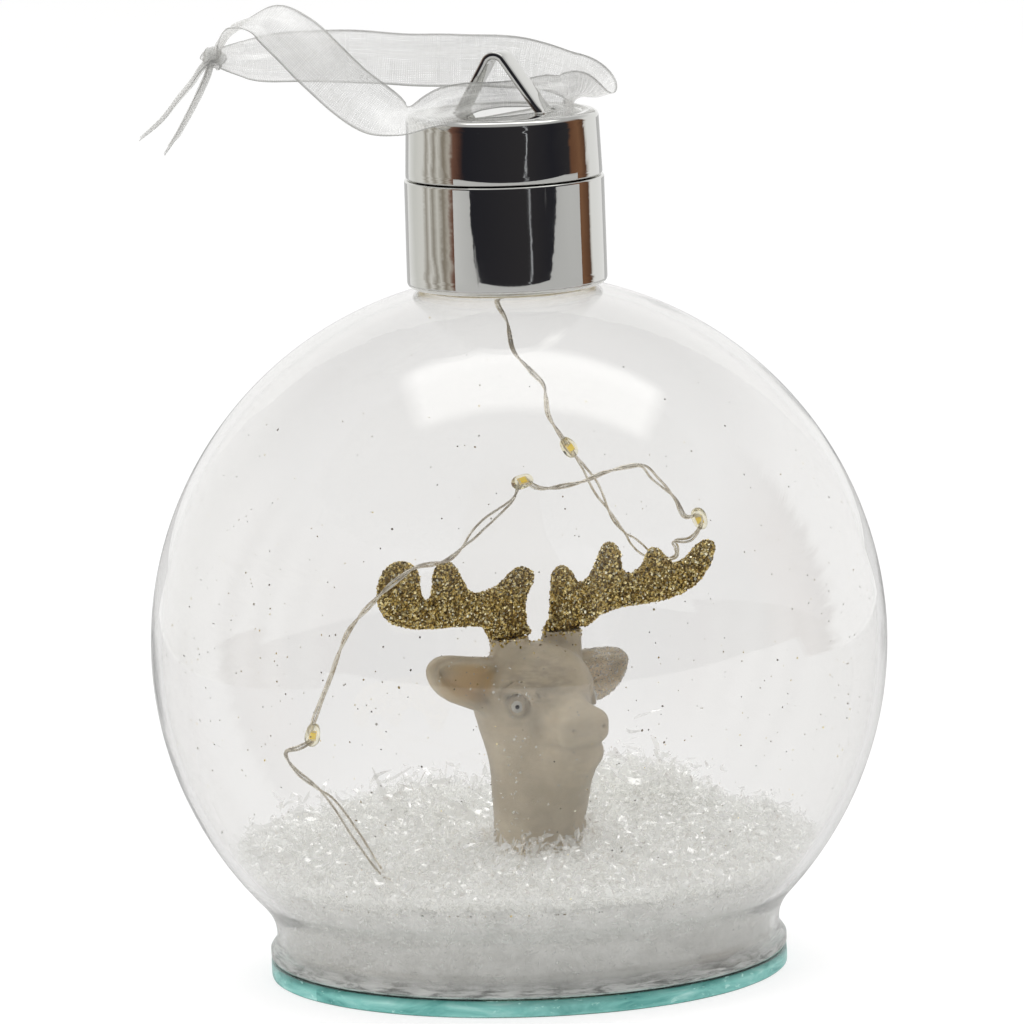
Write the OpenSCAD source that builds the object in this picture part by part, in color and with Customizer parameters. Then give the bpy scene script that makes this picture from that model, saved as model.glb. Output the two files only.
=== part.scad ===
// Light-up snow globe: a clear glass ball on a flat glass disc, with a reindeer
// head standing in loose flakes, a micro light wire and a twist-on battery cap.
// Millimetres, +Z up. The origin is the middle of the base disc's underside.
// The reindeer looks along -Y.

/* [Glass ball] */
// Outer diameter of the ball
ball_d = 120; // [116:1:124]
// Wall thickness of the blown glass
glass_t = 1.6; // [1.2:0.1:2]
// Height of the ball's centre above the underside
ball_z = 54; // [53:0.5:55]
// Outer diameter of the neck that the cap is glued on
neck_d = 26; // [25:0.5:26]

/* [Base] */
// Diameter of the base disc and of the foot flange
base_d = 84.4; // [84:0.2:86]
// Thickness of the base disc
base_t = 3; // [2.5:0.1:3]
// Thickness of the glue film under the foot flange
glue_t = 0.2; // [0.1:0.05:0.3]
// Height of the top of the foot flange
flange_top = 5.1; // [4.8:0.1:5.4]

/* [Reindeer] */
// Diameter of the neck where it leaves the flakes
stem_d = 15.2; // [14:0.2:16]
// Height of the crown of the head
crown_z = 53.6; // [52.5:0.1:54]
// Thickness of the antlers
antler_t = 3.2; // [2.4:0.1:3.6]

/* [Flakes] */
// General level of the loose flakes
snow_z = 19.5; // [17:0.5:20.5]

/* [Cap] */
// Diameter of the lower shell
collar_d = 32.5; // [32.4:0.1:33.4]
// Diameter of the upper shell
cover_d = 31.9; // [31.8:0.1:32.4]
// Height of the top of the upper shell
cover_top = 140.8; // [140.4:0.1:142]
// Height of the apex of the hanging loop
loop_top = 150.7; // [150:0.1:152]
// Depth of the loop's strip
loop_w = 4.4; // [3.6:0.1:5]
// Diameter of one button cell
cell_d = 11.6; // [11.4:0.1:11.6]
// Height of one button cell
cell_h = 5.4; // [5:0.1:5.4]

/* [Light wire] */
// Width of the pair of wires
wire_d = 0.9; // [0.8:0.1:1]
// Diameter of one light drop
drop_d = 2.8; // [2.4:0.1:3]

/* [Ribbon] */
// Width of the ribbon
ribbon_w = 10; // [8:0.5:10]

/* [Hidden] */

R = ball_d / 2;
Ri = R - glass_t;
foot_z = base_t + glue_t;      // underside of the foot flange
join_z = 13;                   // where the ball turns into the foot
waist_r = 41.1;                // narrowest part, just over the flange
foot_ri = 39.4;                // inside of the foot
neck_r = neck_d / 2;
neck_top = 120.4;
shelf_z = 120.9;               // underside of the collar's shelf
shelf_top = 122;
seam_z = 130.3;                // top of the lower shell
spigot_r = 14.95;              // the upper shell turns on this
spigot_top = 133.6;
stem_x = 1;                    // middle of the figure
stem_y = -2.5;
cell_r = 7;                    // circle that the cells stand on
cell_z = 125;                  // underside of the cells
carrier_z = 130.8;
carrier_top = 132.4;
pin_r = 9.2;                   // circle of the two drive pins
ribbon_turn = -35;             // heading of the ribbon about Z

// Radius of a sphere of radius r round the ball's centre, at height z.
function ball_r(r, z) = sqrt(r * r - (z - ball_z) * (z - ball_z));

// Point on a cubic curve through four control points.
function cubic(p, t) = pow(1 - t, 3) * p[0] + 3 * pow(1 - t, 2) * t * p[1]
    + 3 * (1 - t) * t * t * p[2] + t * t * t * p[3];

function unit(v) = v / norm(v);

// ---- swept tube with transported frames ---------------------------------

function tangents(p) = [for (i = [0:len(p) - 1])
    unit(p[min(i + 1, len(p) - 1)] - p[max(i - 1, 0)])];

function side_step(n, t) = unit(n - (n * t) * t);

function normals(t, i = 0, n = [1, 0, 0]) = i >= len(t) ? [] :
    let (m = side_step(n, t[i])) concat([m], normals(t, i + 1, m));

// Catmull-Rom halving of a route: its own points and one between each two.
function mid(a, b, c, d) = (-a + 9 * b + 9 * c - d) / 16;
function smooth_route(p) = concat([for (i = [0:len(p) - 2]) each
    [p[i], mid(p[max(i - 1, 0)], p[i], p[i + 1], p[min(i + 2, len(p) - 1)])]],
    [p[len(p) - 1]]);

module tube(p, r, sides) {
    t = tangents(p);
    n = normals(t);
    pts = [for (i = [0:len(p) - 1]) let (b = cross(t[i], n[i]))
        for (k = [0:sides - 1])
            p[i] + r * (cos(360 * k / sides) * n[i] + sin(360 * k / sides) * b)];
    last = (len(p) - 1) * sides;
    faces = concat(
        [[for (k = [0:sides - 1]) k]],
        [for (i = [0:len(p) - 2]) for (k = [0:sides - 1]) let (
            a = i * sides + k, b = i * sides + (k + 1) % sides)
            each [[a, a + sides, b + sides], [a, b + sides, b]]],
        [[for (k = [sides - 1:-1:0]) last + k]]);
    polyhedron(pts, faces, convexity = 10);
}

// A flat band: each station is [point, width direction, width].
module band(s, t) {
    p = [for (q = s) q[0]];
    tg = tangents(p);
    pts = [for (i = [0:len(s) - 1]) let (
        w = unit(s[i][1] - (s[i][1] * tg[i]) * tg[i]) * s[i][2] / 2,
        n = unit(cross(tg[i], w)) * t / 2)
        each [p[i] - w - n, p[i] + w - n, p[i] + w + n, p[i] - w + n]];
    last = (len(s) - 1) * 4;
    faces = concat([[0, 1, 2, 3]],
        [for (i = [0:len(s) - 2]) for (k = [0:3]) let (
            a = i * 4 + k, b = i * 4 + (k + 1) % 4)
            each [[a, a + 4, b + 4], [a, b + 4, b]]],
        [[last + 3, last + 2, last + 1, last]]);
    polyhedron(pts, faces, convexity = 10);
}

// ---- base ----------------------------------------------------------------

module base_disc() {
    color([0.55, 0.85, 0.82, 0.5]) {
        cylinder(d1 = base_d - 0.8, d2 = base_d, h = 0.4, $fn = 128);
        translate([0, 0, 0.4]) cylinder(d = base_d, h = base_t - 0.8, $fn = 128);
        translate([0, 0, base_t - 0.4])
            cylinder(d1 = base_d, d2 = base_d - 0.8, h = 0.4, $fn = 128);
    }
}

module base_glue_ring() {
    color([0.9, 0.95, 0.95, 0.5]) translate([0, 0, base_t]) difference() {
        cylinder(r = base_d / 2 - 0.6, h = glue_t, $fn = 128);
        translate([0, 0, -1]) cylinder(r = foot_ri + 0.2, h = glue_t + 2, $fn = 128);
    }
}

// ---- glass ball ------------------------------------------------------------

// Half section of the blown glass: foot flange, waist, ball and neck, then back
// down the inside.
module glass_section() {
    ro = ball_r(R, join_z);
    ri = ball_r(Ri, join_z);
    slope = unit([-(ball_z - join_z) / ro, -1]);
    outer = [[ro, join_z], [ro, join_z] + 2.8 * slope,
        [waist_r, 9.2], [waist_r, 6.9]];
    lip = [[waist_r, 6.9], [waist_r, 5.9], [base_d / 2 - 0.5, flange_top + 0.5],
        [base_d / 2, flange_top - 0.4]];
    inner = [[ri, join_z], [ri, join_z] + 2.4 * slope,
        [foot_ri + 0.1, 9.6], [foot_ri, 7.4]];
    bore_r = neck_r - glass_t;
    // the ball's arcs run from below the equator to where they meet the neck
    low_o = asin((join_z - ball_z) / R);
    low_i = asin((join_z - ball_z) / Ri);
    top_o = acos(neck_r / R);
    top_i = acos(bore_r / Ri);
    steps = 36;
    polygon(concat(
        [[foot_ri, foot_z], [base_d / 2 - 0.3, foot_z], [base_d / 2, foot_z + 0.3]],
        [for (i = [5:-1:1]) cubic(lip, i / 5)],
        [for (i = [7:-1:1]) cubic(outer, i / 7)],
        [for (i = [0:steps]) let (a = low_o + (top_o - low_o) * i / steps)
            [R * cos(a), ball_z + R * sin(a)]],
        [[neck_r, neck_top], [bore_r, neck_top]],
        [for (i = [steps:-1:0]) let (a = low_i + (top_i - low_i) * i / steps)
            [Ri * cos(a), ball_z + Ri * sin(a)]],
        [for (i = [1:7]) cubic(inner, i / 7)]));
}

module glass_globe() {
    color([0.92, 0.96, 0.97, 0.25]) rotate_extrude($fn = 128) glass_section();
}

// ---- reindeer ---------------------------------------------------------------

module figure_glue_pad() {
    color([0.85, 0.85, 0.8]) translate([stem_x, stem_y, base_t])
        cylinder(r = 8.4, h = 0.5, $fn = 64);
}

// One ear: a thick leaf out to the side, s = -1 or 1.
module ear(s) {
    hull() {
        translate([stem_x + s * 6.5, stem_y + 1, 46.5]) sphere(r = 2.4, $fn = 24);
        translate([stem_x + s * 14, stem_y + 0.6, 48.4]) sphere(r = 2.6, $fn = 24);
        translate([stem_x + s * 17.6, stem_y + 0.4, 48.2]) sphere(r = 1.7, $fn = 24);
        translate([stem_x + s * 11.5, stem_y + 0.8, 44.6]) sphere(r = 1.5, $fn = 24);
    }
}

module reindeer_head() {
    color([0.67, 0.63, 0.57]) {
        // neck, wider where it stands on the disc
        translate([stem_x, stem_y, base_t + 0.5])
            cylinder(r1 = stem_d / 2 + 0.4, r2 = stem_d / 2, h = 22, $fn = 64);
        translate([stem_x, stem_y, base_t + 22.5])
            cylinder(r = stem_d / 2, h = 15, $fn = 64);
        // skull and cheeks
        translate([stem_x, stem_y - 0.4, crown_z - 9]) sphere(r = 9, $fn = 64);
        translate([stem_x, stem_y - 2.4, crown_z - 13.2]) sphere(r = 8.4, $fn = 64);
        // muzzle
        hull() {
            translate([stem_x, stem_y - 6, 42.6]) sphere(r = 6.2, $fn = 32);
            translate([stem_x, stem_y - 12.2, 40.9]) sphere(r = 3.9, $fn = 32);
        }
        ear(-1);
        ear(1);
        // stubs that carry the antlers
        translate([stem_x - 4.6, stem_y + 0.2, crown_z - 4])
            cylinder(r1 = 3.6, r2 = 3.2, h = 55.3 - crown_z + 4, $fn = 48);
        translate([stem_x + 6, stem_y + 0.2, crown_z - 4])
            cylinder(r1 = 3.6, r2 = 3.2, h = 55.3 - crown_z + 4, $fn = 48);
    }
}

// Antler outlines in the antler's own plane, [out from the stub, height], from the
// inner end of the base, over the tines and back along the underside.
antler_l_points = [[-4, 55.3], [-3.2, 57.5], [-3.2, 61], [-4.6, 63.6], [-5, 65.4],
    [-3.6, 66.7], [-1.4, 66.5], [0.4, 65.4], [2.6, 64.2], [6.4, 63.7], [9, 64.8],
    [10.7, 67.6], [12.4, 69.6], [14.4, 69.4], [15.6, 67.4], [15.9, 65], [17.3, 63.8],
    [18.7, 65], [19, 68], [20.4, 70.2], [23, 70.9], [25.7, 69.6], [27.3, 66.4],
    [26.9, 63.2], [24.4, 60.4], [19, 58.9], [12.8, 58.4], [7, 57.8], [4.8, 56.6],
    [4.2, 55.3]];
antler_r_points = [[-3.6, 55.3], [-2.4, 57.9], [-2, 62], [-1.7, 64.8], [0.3, 66.1],
    [1.9, 65], [3, 63.2], [5.2, 63.4], [6.8, 66], [8.4, 68.6], [10, 68.9],
    [11.2, 67.4], [11.6, 64.6], [13.4, 63.3], [15.4, 64.4], [16.8, 66.8],
    [18.6, 67.1], [20, 65.6], [21.8, 64.3], [24, 64.9], [26.2, 66.8], [28.3, 67.5],
    [29.5, 65.8], [27.9, 62.2], [24.6, 59.4], [21, 58.2], [16.5, 57.7],
    [10.8, 57.5], [6.8, 56.7], [4.2, 55.3]];

module antler_plate(points) {
    rotate([90, 0, 0]) translate([0, 0, -antler_t / 2])
        linear_extrude(height = antler_t) polygon(smooth_route(smooth_route(points)));
}

// The antler on the -X side.
module antler_left() {
    color([0.72, 0.58, 0.3])
        translate([stem_x - 4.4, stem_y, 0]) rotate([0, 0, 5]) mirror([1, 0, 0])
            antler_plate(antler_l_points);
}

// The antler on the +X side, lower and longer.
module antler_right() {
    color([0.72, 0.58, 0.3])
        translate([stem_x + 6, stem_y, 0]) rotate([0, 0, -5])
            antler_plate(antler_r_points);
}

// ---- loose flakes -------------------------------------------------------------

// Mounds above the general level: [x, y, radius, top].
mounds = [[3, -4, 40, 23.2], [34, 17, 24, 26.5], [4, 36, 30, 23.4], [-22, 24, 30, 22]];

module snow_bed() {
    color([0.95, 0.95, 0.96]) difference() {
        intersection() {
            union() {
                translate([0, 0, base_t + 0.05]) cylinder(r = 60, h = snow_z - base_t - 0.05, $fn = 96);
                for (m = mounds) translate([m[0], m[1], m[3] - m[2]]) sphere(r = m[2], $fn = 64);
            }
            union() {
                translate([0, 0, base_t + 0.05]) cylinder(r = foot_ri - 0.4, h = 9.5, $fn = 96);
                intersection() {
                    translate([0, 0, ball_z]) sphere(r = Ri - 0.4, $fn = 96);
                    translate([0, 0, join_z - 0.2]) cylinder(r = 60, h = 20, $fn = 64);
                }
                translate([0, 0, base_t + 9.5])
                    cylinder(r1 = foot_ri - 0.4, r2 = foot_ri + 0.6, h = 2.5, $fn = 96);
            }
        }
        // room for the figure's neck and its glue pad
        translate([stem_x, stem_y, 0]) cylinder(r = stem_d / 2 + 0.9, h = 40, $fn = 64);
    }
}

// ---- cap: fixed lower part ------------------------------------------------------

module cap_glue_bead() {
    r0 = neck_r + 0.2;
    r1 = 15;
    color([0.85, 0.8, 0.7]) rotate_extrude($fn = 96) polygon([
        [r0, ball_z + sqrt(R * R - r0 * r0) + 0.03], [r1, ball_z + sqrt(R * R - r1 * r1) + 0.06],
        [r1, 112.7], [r0, 112.7]]);
}

module neck_gasket() {
    color([0.3, 0.3, 0.3]) translate([0, 0, neck_top]) difference() {
        cylinder(r = neck_r, h = shelf_z - neck_top, $fn = 96);
        translate([0, 0, -1]) cylinder(r = neck_r - glass_t, h = 4, $fn = 96);
    }
}

module cap_collar() {
    r = collar_d / 2;
    color([0.86, 0.86, 0.88]) rotate_extrude($fn = 128) polygon(concat(
        [[neck_r + 0.2, 112.7], [r - 1, 112.7]],
        [for (a = [0:15:90]) [r - 1 + sin(a), 113.7 - cos(a)]],
        [[r, seam_z - 0.3], [r - 0.3, seam_z], [spigot_r, seam_z],
            [spigot_r, spigot_top - 0.4], [spigot_r - 0.3, spigot_top],
            [14.1, spigot_top], [14.1, shelf_top], [2.6, shelf_top],
            [2.6, shelf_z], [neck_r + 0.2, shelf_z]]));
}

module wire_grommet() {
    color([0.2, 0.2, 0.2]) difference() {
        union() {
            translate([0, 0, shelf_z]) cylinder(r = 2.6, h = shelf_top - shelf_z, $fn = 48);
            translate([0, 0, shelf_z - 1]) cylinder(r1 = 2, r2 = 3.6, h = 1, $fn = 48);
        }
        translate([0, 0, shelf_z - 2]) cylinder(r = 0.6, h = 5, $fn = 32);
    }
}

module circuit_board() {
    color([0.1, 0.45, 0.25]) difference() {
        translate([0, 0, shelf_top]) cylinder(r = 9.5, h = 1, $fn = 64);
        translate([0, 0, shelf_top - 1]) cylinder(r = 0.6, h = 4, $fn = 32);
        // notch that keys it in the holder
        translate([8.4, -1, shelf_top - 1]) cube([3, 2, 4]);
    }
}

module series_resistor() {
    color([0.12, 0.12, 0.12]) translate([3, -0.8, shelf_top + 1]) cube([3.2, 1.6, 0.6]);
}

module battery_holder() {
    color([0.92, 0.92, 0.9]) {
        difference() {
            translate([0, 0, shelf_top])
                cylinder(r = 14, h = cell_z + 5.4 - shelf_top, $fn = 96);
            translate([0, 0, shelf_top - 1]) cylinder(r = 9.9, h = 3, $fn = 64);
            for (a = [90, 210, 330]) rotate([0, 0, a]) translate([cell_r, 0, cell_z - 0.3])
                cylinder(r = 5.95, h = 20, $fn = 64);
            // channel for the leads up from the board
            translate([-12.5, -1, shelf_top - 1]) cube([3.5, 2, 20]);
        }
        // post that the carrier turns on
        translate([0, 0, cell_z - 0.4]) cylinder(r = 1, h = 8, $fn = 48);
        // key for the board's notch
        translate([8.5, -0.9, shelf_top]) cube([1.6, 1.8, 1.2]);
    }
}

module cell_contacts() {
    color([0.8, 0.65, 0.3]) for (a = [90, 210, 330]) rotate([0, 0, a])
        translate([cell_r, 0, cell_z - 0.3]) difference() {
            cylinder(r = 4.6, h = 0.3, $fn = 48);
            translate([0, 0, -1]) cylinder(r = 1.6, h = 3, $fn = 32);
        }
}

module button_cell(a) {
    color([0.8, 0.8, 0.82]) rotate([0, 0, a]) translate([cell_r, 0, cell_z]) {
        cylinder(r = cell_d / 2 - 0.9, h = 0.6, $fn = 64);
        translate([0, 0, 0.5]) cylinder(r1 = cell_d / 2 - 0.4, r2 = cell_d / 2, h = 0.4, $fn = 64);
        translate([0, 0, 0.9]) cylinder(r = cell_d / 2, h = cell_h - 1.1, $fn = 64);
        translate([0, 0, cell_h - 0.2])
            cylinder(r1 = cell_d / 2, r2 = cell_d / 2 - 0.2, h = 0.2, $fn = 64);
    }
}

module button_cell_1() button_cell(90);
module button_cell_2() button_cell(210);
module button_cell_3() button_cell(330);

// ---- cap: turning and lifting parts -----------------------------------------------

module contact_carrier() {
    color([0.9, 0.9, 0.88]) difference() {
        translate([0, 0, carrier_z]) cylinder(r = 13.4, h = carrier_top - carrier_z, $fn = 96);
        translate([0, 0, carrier_z - 1]) cylinder(r = 1.05, h = 5, $fn = 48);
        for (a = [0, 180]) rotate([0, 0, a]) translate([pin_r, 0, carrier_z - 1])
            cylinder(r = 1.3, h = 5, $fn = 32);
    }
}

module wiper_contact() {
    color([0.8, 0.65, 0.3]) translate([0, 0, carrier_z - 0.3]) difference() {
        cylinder(r = 7.8, h = 0.3, $fn = 64);
        translate([0, 0, -1]) cylinder(r = 6.2, h = 3, $fn = 64);
        translate([-10, -10, -1]) cube([20, 10, 3]);
    }
}

// The loop's strip: two limbs from an arc at the apex, centred on loop_c.
loop_c = [-0.4, loop_top - 2.5];
loop_arc = 1.9;      // middle radius of the apex
loop_half = 0.6;     // half the strip's thickness
foot_l = [-6.9, cover_top];
foot_r = [7.3, cover_top];
slot_turn = ribbon_turn - 22;

// Directions of the two limbs' outward normals.
side_l = unit([-(loop_c - foot_l)[1], (loop_c - foot_l)[0]]);
side_r = unit([(loop_c - foot_r)[1], -(loop_c - foot_r)[0]]);
angle_l = atan2(side_l[1], side_l[0]);
angle_r = atan2(side_r[1], side_r[0]);

// One edge of the strip, o outside its middle line, from the left leg's end, over
// the apex, to the right leg's end.
function loop_edge(o) = concat(
    [[foot_l[0] - o, cover_top - 1.9], foot_l + [-o, -0.1], foot_l + side_l * o + [0, 0.3]],
    [for (i = [0:12]) let (a = angle_l + (angle_r - angle_l) * i / 12)
        loop_c + (loop_arc + o) * [cos(a), sin(a)]],
    [foot_r + side_r * o + [0, 0.3], foot_r + [o, -0.1], [foot_r[0] + o, cover_top - 1.9]]);

module hanging_loop() {
    inner = loop_edge(-loop_half);
    color([0.86, 0.86, 0.88]) rotate([0, 0, slot_turn]) rotate([90, 0, 0])
        translate([0, 0, -loop_w / 2]) linear_extrude(height = loop_w)
            polygon(concat(loop_edge(loop_half),
                [for (i = [len(inner) - 1:-1:0]) inner[i]]));
}

module battery_cover() {
    r = cover_d / 2;
    color([0.86, 0.86, 0.88]) difference() {
        union() {
            rotate_extrude($fn = 128) polygon(concat(
                [[spigot_r + 0.05, seam_z + 0.2], [r - 0.3, seam_z + 0.2], [r, seam_z + 0.5]],
                [for (a = [0:18:90]) [r - 1 + cos(a), cover_top - 1 + sin(a)]],
                [[0, cover_top], [0, cover_top - 1.4], [spigot_r + 0.05, cover_top - 1.4]]));
            // pins that drive the carrier
            for (a = [0, 180]) rotate([0, 0, a]) translate([pin_r, 0, carrier_z + 0.3])
                cylinder(r = 1.2, h = cover_top - 0.8 - carrier_z - 0.3, $fn = 32);
        }
        // slots for the loop's legs
        for (f = [foot_l, foot_r]) rotate([0, 0, slot_turn])
            translate([f[0] - loop_half - 0.05, -loop_w / 2 - 0.05, cover_top - 4])
                cube([2 * loop_half + 0.1, loop_w + 0.1, 8]);
    }
}

// ---- ribbon ---------------------------------------------------------------------

// Stations along the ribbon's heading: [x along, y across, z], width direction, share
// of the full width.
front_strand = [
    [[-46, 0, 151], [0, 1, 0.3], 0.3], [[-44.6, 0, 153.6], [0.5, 1, 0.2], 0.45],
    [[-42, -0.5, 156], [0.5, 1, 0.2], 0.7], [[-38, -2, 156.6], [0.9, 0.8, 0.6], 0.8],
    [[-34, -4, 154.6], [0.8, 0.3, 0.6], 0.8], [[-29, -6, 150], [0.8, 0, 0.65], 0.8],
    [[-24, -8, 145.8], [0.6, 0.5, 0.6], 0.8], [[-20, -8, 143.4], [0.1, 1, 0.2], 0.8],
    [[-15.5, -6.7, 142.6], [0, 1, 0], 0.7], [[-10, -4.6, 142.4], [0, 1, 0], 0.46],
    [[-5, -2.3, 142.6], [0, 1, 0.1], 0.3], [[0, 0, 142.9], [0, 1, 0], 0.3]];
back_strand = [
    [[0, 0, 142.9], [0, 1, 0], 0.3], [[4, 1.7, 142.6], [0, 1, 0.1], 0.3],
    [[9, 4.2, 142.6], [0, 1, 0.2], 0.44], [[14, 5.5, 143.6], [0.1, 0.9, 0.6], 0.7],
    [[17.4, 8.5, 145.4], [0.2, 0.2, 1], 0.8], [[16.4, 11.5, 146.6], [0, 0, 1], 0.84],
    [[12, 13, 147], [0, 0, 1], 0.86], [[4, 13.5, 147], [0, 0, 1], 0.86],
    [[-8, 12.5, 147.4], [0, 0, 1], 0.86], [[-20, 10, 148], [0, 0, 1], 0.86],
    [[-30, 7, 149], [0, 0.2, 1], 0.86], [[-38, 4, 149.6], [0, 0.3, 1], 0.7],
    [[-43, 2, 150.4], [0, 0.3, 1], 0.45], [[-46, 0, 151], [0, 0.3, 1], 0.3]];
tail_1 = [
    [[-46.4, 0, 151], [0, 1, 0], 0.3], [[-48.6, 0, 149.4], [0, 1, 0], 0.5],
    [[-50.6, 0, 146.6], [0, 1, 0], 0.7], [[-54.6, 0, 141.6], [0, 1, 0], 0.8],
    [[-58.6, 0, 138], [0, 1, 0], 0.7]];
tail_2 = [
    [[-46.4, 0, 151], [0, 1, 0], 0.3], [[-47.4, 0, 148], [0, 1, 0], 0.5],
    [[-49.6, 0, 143.6], [0, 1, 0], 0.7], [[-52.4, 0, 139.4], [0, 1, 0], 0.7],
    [[-54.6, 0, 135.6], [0, 1, 0], 0.6]];

function widen(s) = [for (q = s) [q[0], q[1], q[2] * ribbon_w]];

module ribbon() {
    color([0.97, 0.97, 0.97, 0.6]) rotate([0, 0, ribbon_turn]) {
        band(widen(front_strand), 0.5);
        band(widen(back_strand), 0.5);
        band(widen(tail_1), 0.5);
        band(widen(tail_2), 0.5);
        translate([-46.3, 0, 151]) sphere(r = 1.9, $fn = 24);
    }
}

// ---- light wire -----------------------------------------------------------------

// Route of the light wire, from the board down into the ball.
wire_route = [[0, 0, 122.4], [0, 0, 120], [-0.4, 0.2, 117], [-1, 0.6, 113],
    [-1.5, 1, 109.6], [-0.2, 0.2, 106.3], [-0.6, -1.8, 102], [0.9, -4, 98.9],
    [2.6, -5.4, 96.4], [2.9, -5.6, 94], [3.8, -5.2, 90.8], [7.4, -5.2, 85.6],
    [11.6, -4.5, 80.7], [18, -2.8, 72], [25.4, 0.4, 66.2], [29, 0.6, 64],
    [31.6, -0.6, 64.2], [31, -1.8, 66], [29.6, -3.2, 67.4], [31, -5.6, 67.8],
    [31.8, -7.4, 70], [31.4, -7.6, 72], [29.2, -6.9, 72], [27.6, -6.2, 75.2],
    [24, -6, 78.7], [21, -6.2, 81.2], [14, -6, 80.8], [9, -6.2, 79.8],
    [2.2, -5.2, 79.4], [-1.8, -4.9, 80.9], [-4, -4.8, 78], [-9.8, -4.6, 74.6],
    [-17.8, -6.8, 70.4], [-25.4, -8.8, 70.2], [-29.4, -8.8, 68.6], [-32.2, -7, 65.8],
    [-34.4, -1.6, 60], [-35.4, 2.8, 51.8], [-36.8, 6.2, 44.2], [-36.8, 6.6, 41.6],
    [-38.6, 7.6, 40.4], [-41, 8, 39.8], [-40, 6, 36.7], [-37, 1.4, 32.6],
    [-35, -2.6, 27], [-33.4, -7.2, 21.4], [-31.4, -10.8, 18.4], [-26, -15, 17.4],
    [-18, -17, 18.6], [-12, -15.6, 20.4], [-9.4, -12.6, 22], [-7.6, -10.6, 24.2]];

// Where the light drops sit on the wire.
drop_at = [[7.4, -5.2, 85.6], [31.7, -7.5, 71.4], [-1.8, -4.9, 80.9],
    [-36.7, 6.4, 42.4], [-22, -16.2, 17.9]];

module light_wire() {
    color([0.8, 0.78, 0.7]) tube(smooth_route(wire_route), wire_d / 2, 8);
}

module light_drop(i) {
    color([0.95, 0.92, 0.7]) translate(drop_at[i]) sphere(d = drop_d, $fn = 24);
}

module light_drop_1() light_drop(0);
module light_drop_2() light_drop(1);
module light_drop_3() light_drop(2);
module light_drop_4() light_drop(3);
module light_drop_5() light_drop(4);

base_disc();
base_glue_ring();
glass_globe();
figure_glue_pad();
reindeer_head();
antler_left();
antler_right();
snow_bed();
cap_glue_bead();
neck_gasket();
cap_collar();
wire_grommet();
circuit_board();
series_resistor();
battery_holder();
cell_contacts();
button_cell_1();
button_cell_2();
button_cell_3();
contact_carrier();
wiper_contact();
battery_cover();
hanging_loop();
ribbon();
light_wire();
light_drop_1();
light_drop_2();
light_drop_3();
light_drop_4();
light_drop_5();
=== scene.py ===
"""Light-up snow globe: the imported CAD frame, with finished meshes and materials round it."""
import bpy
import math
import numpy as np
from mathutils import Matrix, Vector


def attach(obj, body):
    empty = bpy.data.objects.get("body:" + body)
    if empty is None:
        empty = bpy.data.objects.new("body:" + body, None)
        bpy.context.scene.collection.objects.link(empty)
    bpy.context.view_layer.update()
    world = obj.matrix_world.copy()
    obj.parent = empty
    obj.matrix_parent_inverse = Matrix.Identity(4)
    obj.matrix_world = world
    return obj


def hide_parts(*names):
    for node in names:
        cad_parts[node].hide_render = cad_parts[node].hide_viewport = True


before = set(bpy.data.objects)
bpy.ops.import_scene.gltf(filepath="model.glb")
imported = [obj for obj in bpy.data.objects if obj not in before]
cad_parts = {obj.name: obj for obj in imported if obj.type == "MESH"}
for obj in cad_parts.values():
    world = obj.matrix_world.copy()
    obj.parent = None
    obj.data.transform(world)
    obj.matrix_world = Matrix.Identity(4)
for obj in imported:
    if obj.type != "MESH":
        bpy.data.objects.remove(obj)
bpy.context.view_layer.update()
MM = 0.001
scene = bpy.context.scene

# ------------------------------------------------------------------ camera and stage
AZ = math.radians(-35.0)
TOWARD = Vector((math.sin(AZ), -math.cos(AZ), 0))
RIGHT = Vector((math.cos(AZ), math.sin(AZ), 0))


def make_camera():
    cam = bpy.data.objects.new("camera", bpy.data.cameras.new("camera"))
    scene.collection.objects.link(cam)
    cam.data.sensor_width = 36.0
    cam.data.lens = 9952.9 / 1024 * 36.0
    cam.data.clip_start, cam.data.clip_end = 0.05, 50
    place = TOWARD * 1.6 + Vector((0, 0, 0.323))
    aim = RIGHT * -0.000477 + Vector((0, 0, 0.07528))
    look = (aim - place).normalized()
    side = look.cross(Vector((0, 0, 1))).normalized()
    up = side.cross(look)
    roll = math.radians(-1.87)
    s2 = side * math.cos(roll) + up * math.sin(roll)
    u2 = -side * math.sin(roll) + up * math.cos(roll)
    m = Matrix((s2, u2, -look)).transposed().to_4x4()
    m.translation = place
    cam.matrix_world = m
    scene.camera = cam


make_camera()

try:
    scene.view_settings.view_transform = "Standard"
    scene.view_settings.look = "None"
except TypeError:
    pass
scene.cycles.use_denoising = True
scene.cycles.max_bounces = 24
scene.cycles.transmission_bounces = 20
scene.cycles.transparent_max_bounces = 48
scene.cycles.diffuse_bounces = 5
scene.cycles.glossy_bounces = 6
scene.cycles.sample_clamp_indirect = 6.0


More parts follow.
